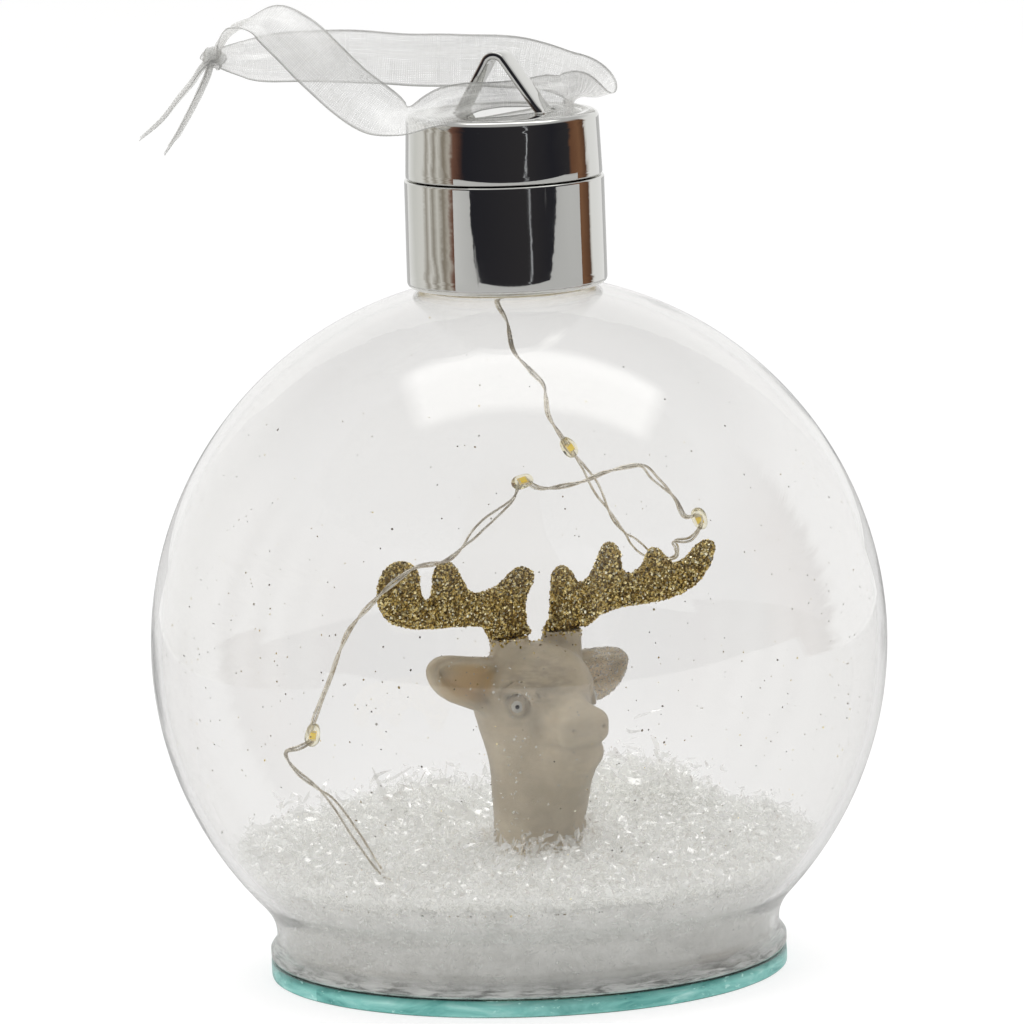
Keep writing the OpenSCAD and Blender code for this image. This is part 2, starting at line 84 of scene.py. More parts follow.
# ------------------------------------------------------------------ node helpers
class Tree:
    """A thin wrapper that adds nodes and links in a few words."""

    def __init__(self, nt):
        self.nt = nt
        nt.nodes.clear()

    def add(self, kind, **kw):
        n = self.nt.nodes.new(kind)
        for k, v in kw.items():
            setattr(n, k, v)
        return n

    def put(self, node, values):
        for k, v in values.items():
            s = node.inputs[k]
            if isinstance(v, bpy.types.NodeSocket):
                self.nt.links.new(v, s)
            elif isinstance(v, bpy.types.Node):
                self.nt.links.new(v.outputs[0], s)
            else:
                if hasattr(s.default_value, "__len__") and not hasattr(v, "__len__"):
                    v = (v,) * len(s.default_value)
                if hasattr(s.default_value, "__len__") and len(s.default_value) == 4 and len(v) == 3:
                    v = (*v, 1.0)
                s.default_value = v
        return node

    def math(self, op, a, b=None, c=None, clamp=False):
        n = self.add("ShaderNodeMath", operation=op, use_clamp=clamp)
        vals = {0: a}
        if b is not None:
            vals[1] = b
        if c is not None:
            vals[2] = c
        self.put(n, vals)
        return n.outputs[0]

    def noise(self, scale, detail=4.0, rough=0.5, vec=None, out=0, distortion=0.0, dims="3D"):
        n = self.add("ShaderNodeTexNoise", noise_dimensions=dims)
        self.put(n, {"Scale": scale, "Detail": detail, "Roughness": rough, "Distortion": distortion})
        if vec is not None:
            self.put(n, {"Vector": vec})
        return n.outputs[out]

    def ramp(self, fac, stops, interp="LINEAR"):
        n = self.add("ShaderNodeValToRGB")
        n.color_ramp.interpolation = interp
        els = n.color_ramp.elements
        while len(els) < len(stops):
            els.new(0.5)
        for e, (p, c) in zip(els, stops):
            e.position = p
            e.color = (*c, 1.0) if hasattr(c, "__len__") else (c, c, c, 1.0)
        self.put(n, {0: fac})
        return n.outputs[0]

    def mix(self, fac, a, b, blend="MIX"):
        n = self.add("ShaderNodeMix", data_type="RGBA", blend_type=blend)
        self.put(n, {0: fac, 6: a, 7: b})
        return n.outputs[2]

    def mixf(self, fac, a, b):
        n = self.add("ShaderNodeMix", data_type="FLOAT")
        self.put(n, {0: fac, 2: a, 3: b})
        return n.outputs[0]

    def mapr(self, v, a, b, c, d):
        n = self.add("ShaderNodeMapRange")
        self.put(n, {0: v, 1: a, 2: b, 3: c, 4: d})
        return n.outputs[0]

    def bump(self, height, strength=0.3, distance=0.0002, normal=None):
        n = self.add("ShaderNodeBump")
        self.put(n, {"Height": height, "Strength": strength, "Distance": distance})
        if normal is not None:
            self.put(n, {"Normal": normal})
        return n.outputs[0]

    def obj(self):
        return self.add("ShaderNodeTexCoord").outputs["Object"]

    def uv(self):
        return self.add("ShaderNodeTexCoord").outputs["UV"]

    def shade(self, kind, **kw):
        n = self.add(kind)
        self.put(n, kw)
        return n

    def mixs(self, fac, a, b):
        n = self.add("ShaderNodeMixShader")
        self.put(n, {0: fac, 1: a, 2: b})
        return n.outputs[0]

    def out(self, surface):
        o = self.add("ShaderNodeOutputMaterial")
        self.put(o, {"Surface": surface})


MATS = {}


def material(name):
    m = bpy.data.materials.new(name)
    m.use_nodes = True
    MATS[name] = m
    return m, Tree(m.node_tree)


def principled(t, **kw):
    n = t.add("ShaderNodeBsdfPrincipled")
    t.put(n, {k.replace("_", " "): v for k, v in kw.items()})
    return n


# ------------------------------------------------------------------ world: the studio
def make_world():
    w = bpy.data.worlds.new("studio")
    scene.world = w
    w.use_nodes = True
    t = Tree(w.node_tree)
    d = t.add("ShaderNodeTexCoord").outputs["Generated"]
    sep = t.add("ShaderNodeSeparateXYZ")
    t.put(sep, {0: d})
    dot_r = t.add("ShaderNodeVectorMath", operation="DOT_PRODUCT")
    t.put(dot_r, {0: d, 1: tuple(RIGHT)})
    dot_t = t.add("ShaderNodeVectorMath", operation="DOT_PRODUCT")
    t.put(dot_t, {0: d, 1: tuple(TOWARD)})
    r, f, z = dot_r.outputs["Value"], dot_t.outputs["Value"], sep.outputs["Z"]
    ang = t.math("ARCTAN2", r, f)                      # 0 in front, + to the right
    # the props behind the camera aren't straight-sided
    cv = t.add("ShaderNodeCombineXYZ")
    t.put(cv, {0: t.math("MULTIPLY", ang, 2.6), 1: t.math("MULTIPLY", z, 95.0), 2: 1.7})
    wob = t.noise(1.0, 3.0, 0.6, cv.outputs[0])
    ang = t.math("ADD", ang, t.math("MULTIPLY", t.math("SUBTRACT", wob, 0.5), 0.34))
    u = t.math("ADD", t.math("DIVIDE", ang, 2 * math.pi), 0.5)

    def at(deg):
        return deg / 360.0 + 0.5

    black, dark = (0.022, 0.022, 0.028), (0.036, 0.034, 0.037)
    white = (1.0, 1.0, 0.995)
    stops = [
        (0.0, white), (at(-150), white), (at(-128), (0.80, 0.80, 0.77)),
        (at(-112), (0.90, 0.89, 0.86)), (at(-104), (0.42, 0.39, 0.34)), (at(-97), (0.86, 0.84, 0.80)),
        (at(-90), (0.36, 0.33, 0.28)), (at(-83), (0.78, 0.76, 0.71)), (at(-75), (0.28, 0.24, 0.19)),
        (at(-69), (0.58, 0.54, 0.48)), (at(-64), (0.20, 0.10, 0.07)), (at(-54), (0.09, 0.045, 0.035)),
        (at(-48), black), (at(23), dark), (at(25.4), dark), (at(26.6), (0.70, 0.72, 0.76)), (at(27.8), dark),
        (at(60), black), (at(82), dark), (at(87), (0.17, 0.08, 0.045)), (at(101), (0.24, 0.12, 0.065)),
        (at(113), (0.12, 0.06, 0.036)), (at(116), (0.8, 0.78, 0.75)), (at(120), white), (1.0, white)]
    # the ramp node holds 32 stops
    front = t.ramp(u, stops)
    # overhead: a soft white ceiling with a bright box in the middle
    up = t.mapr(z, 0.36, 0.62, 0.0, 1.0)
    ceiling = t.mix(up, front, (0.60, 0.60, 0.60))
    px = t.math("DIVIDE", r, t.math("MAXIMUM", z, 0.05))
    py = t.math("DIVIDE", f, t.math("MAXIMUM", z, 0.05))
    bx = t.mapr(t.math("ABSOLUTE", t.math("ADD", px, -0.12)), 0.48, 0.58, 1.0, 0.0)
    by = t.mapr(t.math("ABSOLUTE", t.math("ADD", py, 0.19)), 0.20, 0.28, 1.0, 0.0)
    box = t.math("MULTIPLY", t.math("MULTIPLY", bx, by), t.mapr(z, 0.3, 0.4, 0.0, 1.0))
    env = t.mix(box, ceiling, (2.5, 2.5, 2.46))
    # below the horizon, past the table's edge
    low = t.mapr(z, -0.35, -0.22, 1.0, 0.0)
    env = t.mix(low, env, (0.70, 0.70, 0.69))
    lp = t.add("ShaderNodeLightPath")
    env = t.mix(lp.outputs["Is Camera Ray"], env, (1.0, 1.0, 1.0))
    bg = t.add("ShaderNodeBackground")
    t.put(bg, {"Color": env, "Strength": 1.0})
    o = t.add("ShaderNodeOutputWorld")
    t.put(o, {"Surface": bg.outputs[0]})
    w.cycles.sampling_method = "MANUAL"
    w.cycles.sample_map_resolution = 1024


make_world()


def add_lights():
    def area(name, loc, size, power, target=(0, 0, 0.06), size_y=None):
        l = bpy.data.lights.new(name, "AREA")
        l.shape = "RECTANGLE" if size_y else "SQUARE"
        l.size = size
        if size_y:
            l.size_y = size_y
        l.energy = power
        ob = bpy.data.objects.new(name, l)
        scene.collection.objects.link(ob)
        ob.location = loc
        d = Vector(target) - Vector(loc)
        ob.rotation_euler = d.to_track_quat("-Z", "Y").to_euler()
        ob.visible_camera = False
        ob.visible_glossy = False
        ob.visible_transmission = False
        return ob

    area("top_box", tuple(Vector((0, 0, 1.0)) + TOWARD * -0.05), 0.9, 3.3)
    area("left_box", tuple(RIGHT * -1.0 + TOWARD * 0.35 + Vector((0, 0, 0.45))), 0.7, 2.7)
    area("right_box", tuple(RIGHT * 1.1 + TOWARD * 0.1 + Vector((0, 0, 0.4))), 0.7, 1.1)
    area("front_fill", tuple(TOWARD * 1.4 + Vector((0, 0, 0.55))), 0.5, 0.9)


add_lights()


# ------------------------------------------------------------------ mesh helpers
def add_object(name, verts_mm, faces, mats, smooth=True, mat_index=None, uvs=None):
    me = bpy.data.meshes.new(name)
    v = np.asarray(verts_mm, dtype=np.float64) * MM
    if isinstance(faces, np.ndarray) and faces.ndim == 2:
        nv, nf, k = len(v), len(faces), faces.shape[1]
        me.vertices.add(nv)
        me.vertices.foreach_set("co", v.ravel())
        me.loops.add(nf * k)
        me.loops.foreach_set("vertex_index", faces.ravel().astype(np.int32))
        me.polygons.add(nf)
        me.polygons.foreach_set("loop_start", np.arange(0, nf * k, k, dtype=np.int32))
        me.update(calc_edges=True)
    else:
        me.from_pydata([tuple(p) for p in v], [], [tuple(int(i) for i in f) for f in faces])
    me.validate(clean_customdata=False)
    for m in mats if isinstance(mats, (list, tuple)) else [mats]:
        me.materials.append(m)
    me.polygons.foreach_set("use_smooth", np.full(len(me.polygons), smooth))
    if mat_index is not None:
        me.polygons.foreach_set("material_index", np.asarray(mat_index, dtype=np.int32))
    if uvs is not None:
        layer = me.uv_layers.new(name="UVMap")
        idx = np.empty(len(me.loops), dtype=np.int32)
        me.loops.foreach_get("vertex_index", idx)
        layer.data.foreach_set("uv", np.asarray(uvs, dtype=np.float32)[idx].ravel())
    me.update()
    ob = bpy.data.objects.new(name, me)
    scene.collection.objects.link(ob)
    return ob


def lathe(name, profile, mats, seg=192, closed=True, mat_of=None, wobble=None, smooth=True):
    """Turns a list of (r, z) about Z. A closed profile is a ring of points; r = 0 points become poles."""
    prof = [tuple(p) for p in profile]
    a = np.linspace(0, 2 * np.pi, seg, endpoint=False)
    verts, rows = [], []
    for r, z in prof:
        if r <= 1e-9:
            rows.append([len(verts)])
            verts.append((0, 0, z))
        else:
            rows.append(list(range(len(verts), len(verts) + seg)))
            for t in a:
                rr = r + (wobble(r, z, t) if wobble else 0.0)
                verts.append((rr * math.cos(t), rr * math.sin(t), z))
    faces, mi = [], []
    n = len(prof)
    for i in range(n if closed else n - 1):
        p, q = rows[i], rows[(i + 1) % n]
        for k in range(seg):
            k2 = (k + 1) % seg
            if len(p) == 1 and len(q) == 1:
                continue
            if len(p) == 1:
                f = (p[0], q[k2], q[k])
            elif len(q) == 1:
                f = (p[k], p[k2], q[0])
            else:
                f = (p[k], p[k2], q[k2], q[k])
            faces.append(f)
            mi.append(mat_of(i) if mat_of else 0)
    return add_object(name, verts, faces, mats, smooth, mi)


def arc(cx, cz, r, a0, a1, n):
    return [(cx + r * math.cos(math.radians(a0 + (a1 - a0) * i / n)),
             cz + r * math.sin(math.radians(a0 + (a1 - a0) * i / n))) for i in range(n + 1)]


def cubic(p, n, skip_first=False):
    out = []
    for i in range(1 if skip_first else 0, n + 1):
        t = i / n
        out.append(tuple((1 - t) ** 3 * p[0][k] + 3 * (1 - t) ** 2 * t * p[1][k]
                         + 3 * (1 - t) * t * t * p[2][k] + t ** 3 * p[3][k] for k in range(2)))
    return out


def surface_net(f, lo, hi, h, project=3):
    """Meshes f = 0 (negative inside) over a box in mm, then pulls the vertices onto it."""
    lo, hi = np.array(lo, float), np.array(hi, float)
    n = np.ceil((hi - lo) / h).astype(int) + 1
    ax = [lo[i] + h * np.arange(n[i]) for i in range(3)]
    V = np.empty(n)
    yz = np.stack(np.meshgrid(ax[1], ax[2], indexing="ij"), -1).reshape(-1, 2)
    step = max(1, int(400000 // len(yz)))
    for i in range(0, n[0], step):
        xs = ax[0][i:i + step]
        P = np.empty((len(xs), len(yz), 3))
        P[..., 0] = xs[:, None]
        P[..., 1:] = yz
        V[i:i + step] = f(P.reshape(-1, 3)).reshape(len(xs), n[1], n[2])
    S = V < 0
    c = [S[i:n[0] - 1 + i, j:n[1] - 1 + j, k:n[2] - 1 + k] for i in (0, 1) for j in (0, 1) for k in (0, 1)]
    total = sum(x.astype(np.int8) for x in c)
    mixed = (total > 0) & (total < 8)
    cells = np.argwhere(mixed)
    index = -np.ones(mixed.shape, dtype=np.int64)
    index[tuple(cells.T)] = np.arange(len(cells))
    corners = np.array([(i, j, k) for i in (0, 1) for j in (0, 1) for k in (0, 1)])
    acc, cnt = np.zeros((len(cells), 3)), np.zeros(len(cells))
    for a in range(8):
        for b in range(a + 1, 8):
            if np.abs(corners[a] - corners[b]).sum() != 1:
                continue
            va = V[tuple((cells + corners[a]).T)]
            vb = V[tuple((cells + corners[b]).T)]
            m = (va < 0) != (vb < 0)
            t = np.zeros(len(cells))
            t[m] = va[m] / (va[m] - vb[m])
            pt = corners[a] + t[:, None] * (corners[b] - corners[a])
            acc[m] += pt[m]
            cnt[m] += 1
    verts = lo + h * (cells + acc / cnt[:, None])
    quads = []
    for axis in range(3):
        o1, o2 = [(1, 2), (2, 0), (0, 1)][axis]
        sl0 = [slice(None)] * 3
        sl1 = [slice(None)] * 3
        sl0[axis], sl1[axis] = slice(0, n[axis] - 1), slice(1, n[axis])
        A, B = S[tuple(sl0)], S[tuple(sl1)]
        e = np.argwhere(A != B)
        ok = (e[:, o1] > 0) & (e[:, o2] > 0) & (e[:, o1] < n[o1] - 1) & (e[:, o2] < n[o2] - 1)
        e = e[ok]
        inside = A[tuple(e.T)]
        d1, d2 = np.zeros(3, int), np.zeros(3, int)
        d1[o1], d2[o2] = 1, 1
        q = np.stack([index[tuple((e - d1 - d2).T)], index[tuple((e - d2).T)],
                      index[tuple(e.T)], index[tuple((e - d1).T)]], 1)
        q[~inside] = q[~inside][:, ::-1]
        quads.append(q)
    quads = np.concatenate(quads)
    quads = quads[(quads >= 0).all(1)]
    eps = h * 0.2
    for _ in range(project):
        v0 = f(verts)
        g = np.stack([(f(verts + eps * e) - f(verts - eps * e)) / (2 * eps) for e in np.eye(3)], 1)
        gg = (g * g).sum(1) + 1e-6
        move = -(v0 / gg)[:, None] * g
        ln = np.linalg.norm(move, axis=1, keepdims=True)
        move *= np.minimum(1.0, 0.5 * h / np.maximum(ln, 1e-9))
        verts = verts + move
    return verts, quads


def smin(a, b, k):
    h = np.clip(0.5 + 0.5 * (b - a) / k, 0, 1)
    return b * (1 - h) + a * h - k * h * (1 - h)


def smax(a, b, k):
    return -smin(-a, -b, k)


def ellipsoid(P, c, r, rot=None):
    q = P - np.array(c, float)
    if rot is not None:
        q = q @ np.array(rot)
    r = np.array(r, float)
    k0 = np.linalg.norm(q / r, axis=1)
    k1 = np.linalg.norm(q / (r * r), axis=1)
    return k0 * (k0 - 1.0) / np.maximum(k1, 1e-9)


def cone(P, a, b, ra, rb):
    a, b = np.array(a, float), np.array(b, float)
    d = b - a
    h = np.clip(((P - a) @ d) / (d @ d), 0, 1)
    return np.linalg.norm(P - a - h[:, None] * d, axis=1) - (ra + (rb - ra) * h)


def dist_polyline(P, pts, closed=False):
    best = np.full(len(P), 1e9)
    n = len(pts)
    for i in range(n if closed else n - 1):
        a, b = np.array(pts[i], float), np.array(pts[(i + 1) % n], float)
        d = b - a
        h = np.clip(((P - a) @ d) / max(d @ d, 1e-12), 0, 1)
        best = np.minimum(best, np.linalg.norm(P - a - h[:, None] * d, axis=1))
    return best


def catmull(points, sub, closed=False):
    """Catmull-Rom through rows of numbers, sub steps to each span."""
    p = np.array(points, float)
    n = len(p)
    out = []
    for i in range(n if closed else n - 1):
        if closed:
            a, b, c, d = p[(i - 1) % n], p[i], p[(i + 1) % n], p[(i + 2) % n]
        else:
            a, b, c, d = p[max(i - 1, 0)], p[i], p[i + 1], p[min(i + 2, n - 1)]
            if i == 0:
                a = 2 * b - c
            if i == n - 2:
                d = 2 * c - b
        for s in range(sub):
            t = s / sub
            out.append(0.5 * ((2 * b) + (-a + c) * t + (2 * a - 5 * b + 4 * c - d) * t * t
                              + (-a + 3 * b - 3 * c + d) * t ** 3))
    if not closed:
        out.append(p[-1])
    return np.array(out)


def value_noise(P, seed=0):
    """Smooth noise in [-1, 1] from a hashed lattice, for rows of coordinates."""
    P = np.asarray(P, float)
    i = np.floor(P).astype(np.int64)
    f = P - i
    w = f * f * (3 - 2 * f)

    def h(ix):
        n = ix[:, 0] * 73856093 ^ ix[:, 1] * 19349663 ^ ix[:, 2] * 83492791 ^ (seed * 2654435761 & 0xffffffff)
        n = (n ^ (n >> 13)) * 1274126177 & 0xffffffff
        n = (n ^ (n >> 16)) & 0xffffffff
        return n / 2147483647.5 - 1.0

    tot = 0
    for dx in (0, 1):
        for dy in (0, 1):
            for dz in (0, 1):
                ww = (w[:, 0] if dx else 1 - w[:, 0]) * (w[:, 1] if dy else 1 - w[:, 1]) * (w[:, 2] if dz else 1 - w[:, 2])
                tot = tot + ww * h(i + np.array((dx, dy, dz)))
    return tot


def fractal(P, octaves=4, seed=0, gain=0.5):
    P = np.asarray(P, float)
    s, a, tot = 0, 1.0, 0.0
    for o in range(octaves):
        s = s + a * value_noise(P * 2 ** o + 17.3 * o, seed + o)
        tot += a
        a *= gain
    return s / tot


# ------------------------------------------------------------------ materials
def glass_body(t, tint, rough=0.0, normal=None, ior=1.47, shadow=0.93, clear=0.0):
    """Real refracting glass that lets lamps and soft light through to what is inside."""
    g = t.add("ShaderNodeBsdfGlass")
    t.put(g, {"Color": tint, "Roughness": rough, "IOR": ior})
    if normal is not None:
        t.put(g, {"Normal": normal})
    tr = t.add("ShaderNodeBsdfTransparent")
    t.put(tr, {"Color": (shadow, shadow, shadow)})
    lp = t.add("ShaderNodeLightPath")
    fac = t.math("MAXIMUM", lp.outputs["Is Shadow Ray"], lp.outputs["Is Diffuse Ray"])
    return t.mixs(fac, g, tr)


def make_glass():
    m, t = material("clear_glass")
    o = t.obj()
    wav = t.noise(38.0, 2.0, 0.5, o)
    fine = t.noise(300.0, 2.0, 0.5, o)
    h = t.math("ADD", wav, t.math("MULTIPLY", fine, 0.05))
    nrm = t.bump(h, 0.10, 0.0006)
    smear = t.noise(55.0, 5.0, 0.6, o, distortion=0.6)
    rough = t.mapr(smear, 0.55, 0.8, 0.0, 0.05)
    tint = t.mix(t.noise(20.0, 2.0, 0.5, o), (0.973, 0.971, 0.968), (0.960, 0.958, 0.955))
    hz = t.add("ShaderNodeSeparateXYZ")
    t.put(hz, {0: o})
    # the foot is ground and handled, the waist a little hazy
    foot = t.mapr(hz.outputs["Z"], 0.0050, 0.0075, 0.30, 0.24)
    foot = t.math("MULTIPLY", foot, t.mapr(hz.outputs["Z"], 0.0090, 0.0190, 1.0, 0.0))
    haze = t.shade("ShaderNodeBsdfTranslucent", Color=(0.80, 0.80, 0.785))
    dust = t.shade("ShaderNodeBsdfDiffuse", Color=(0.80, 0.80, 0.785))
    thin = t.shade("ShaderNodeBsdfTransparent", Color=(0.96, 0.96, 0.955))
    film = t.mixs(0.72, t.mixs(0.5, haze, dust), thin)
    around = t.math("ARCTAN2", hz.outputs["Y"], hz.outputs["X"])
    sv = t.add("ShaderNodeCombineXYZ")
    t.put(sv, {0: t.math("MULTIPLY", around, 9.0), 1: t.math("MULTIPLY", hz.outputs["Z"], 1400.0), 2: 0.0})
    painted_reflection_streak = t.noise(1.0, 4.0, 0.6, sv.outputs[0], distortion=0.5)
    # the flange's rim: painted reflections, dark lines and white highlights in streaks running round it
    lip = principled(t, Base_Color=t.ramp(painted_reflection_streak, [(0.36, (0.05, 0.055, 0.05)), (0.44, (0.28, 0.29, 0.28)),
                                                   (0.52, (0.68, 0.69, 0.67)), (0.68, (0.95, 0.95, 0.94))]),
                     Roughness=0.25, Normal=nrm)
    edge = t.mapr(hz.outputs["Z"], 0.0043, 0.0056, 0.40, 0.0)
    body = t.mixs(foot, glass_body(t, tint, rough, nrm, 1.47, 0.955), film)
    t.out(t.mixs(edge, body, lip.outputs[0]))

    m, t = material("float_glass")
    o = t.obj()
    geo = t.add("ShaderNodeNewGeometry")
    sep = t.add("ShaderNodeSeparateXYZ")
    t.put(sep, {0: geo.outputs["Normal"]})
    side = t.math("SUBTRACT", 1.0, t.math("ABSOLUTE", sep.outputs["Z"]))
    side = t.mapr(side, 0.15, 0.75, 0.0, 1.0)
    # ground edge: aqua with cloudy streaks that run along the rim
    xyz = t.add("ShaderNodeSeparateXYZ")
    t.put(xyz, {0: o})
    ang = t.math("ARCTAN2", xyz.outputs["Y"], xyz.outputs["X"])
    v = t.add("ShaderNodeCombineXYZ")
    t.put(v, {0: t.math("MULTIPLY", ang, 2.4), 1: t.math("MULTIPLY", xyz.outputs["Z"], 260.0), 2: 0.0})
    cloud = t.noise(1.6, 5.0, 0.62, v.outputs[0], distortion=0.7)
    v2 = t.add("ShaderNodeCombineXYZ")
    t.put(v2, {0: t.math("MULTIPLY", ang, 16.0), 1: t.math("MULTIPLY", xyz.outputs["Z"], 900.0), 2: 3.0})
    chips = t.noise(1.5, 4.0, 0.6, v2.outputs[0], distortion=0.4)
    aqua = t.ramp(cloud, [(0.28, (0.05, 0.20, 0.19)), (0.40, (0.13, 0.40, 0.37)), (0.54, (0.24, 0.57, 0.53)),
                          (0.72, (0.45, 0.75, 0.71))])
    # painted shade: a dark line where the disc meets the foot, brighter towards the bottom
    zz = t.math("MULTIPLY", xyz.outputs["Z"], 1000.0)
    lift = t.mapr(zz, 1.7, 2.95, 0.0, 1.0)
    aqua = t.mix(t.math("MULTIPLY", lift, 0.8), aqua, (0.012, 0.085, 0.075))
    aqua = t.mix(t.math("MULTIPLY", t.mapr(chips, 0.62, 0.7, 0.0, 0.7), 1.0), aqua, (0.55, 0.85, 0.8))
    aqua = t.mix(t.math("MULTIPLY", t.mapr(chips, 0.30, 0.26, 0.0, 0.6), 1.0), aqua, (0.01, 0.08, 0.08))
    g = glass_body(t, (0.80, 0.93, 0.90), 0.0, None, 1.5, 0.85)
    # the edge also gets a painted glow in its own aqua
    d = principled(t, Base_Color=aqua, Roughness=0.16, IOR=1.5, Transmission_Weight=0.15,
                   Emission_Color=aqua, Emission_Strength=0.22,
                   Normal=t.bump(chips, 0.35, 0.0002))
    t.out(t.mixs(t.math("MULTIPLY", side, 0.93), g, d.outputs[0]))

    m, t = material("glue_film")
    o = t.obj()
    n = t.noise(240.0, 4.0, 0.6, o)
    d = principled(t, Base_Color=t.ramp(n, [(0.40, (0.16, 0.17, 0.16)), (0.48, (0.62, 0.64, 0.62)), (0.7, (0.86, 0.88, 0.86))]), Roughness=0.3,
                   Transmission_Weight=0.45, Normal=t.bump(n, 0.3, 0.0001))
    clr = t.shade("ShaderNodeBsdfTransparent", Color=(0.97, 0.98, 0.975))
    # painted glow: the film gives off faint light of its own
    painted_glow = t.shade("ShaderNodeEmission", Color=(0.85, 0.9, 0.88), Strength=0.16)
    add = t.add("ShaderNodeAddShader")
    t.put(add, {0: d.outputs[0], 1: painted_glow})
    t.out(t.mixs(0.5, add.outputs[0], clr))


def make_chrome():
    m, t = material("chrome_plate")
    o = t.obj()
    big = t.noise(26.0, 2.0, 0.5, o)
    mid = t.noise(240.0, 3.0, 0.55, o)
    h = t.math("ADD", big, t.math("MULTIPLY", mid, 0.035))
    nrm = t.bump(h, 0.22, 0.0007)
    # fine handling scratches
    sc = t.add("ShaderNodeMapping")
    t.put(sc, {"Vector": o, "Scale": (900.0, 900.0, 60.0), "Rotation": (0.4, 0.3, 0.2)})
    scr = t.noise(1.0, 2.0, 0.5, sc.outputs[0])
    rough = t.mapr(t.noise(120.0, 4.0, 0.6, o), 0.3, 0.8, 0.012, 0.05)
    rough = t.math("ADD", rough, t.mapr(scr, 0.66, 0.74, 0.0, 0.08))
    col = t.mix(t.noise(30.0, 3.0, 0.5, o), (0.66, 0.66, 0.635), (0.61, 0.61, 0.59))
    p = principled(t, Base_Color=col, Metallic=1.0, Roughness=rough, Normal=nrm)
    t.out(p.outputs[0])


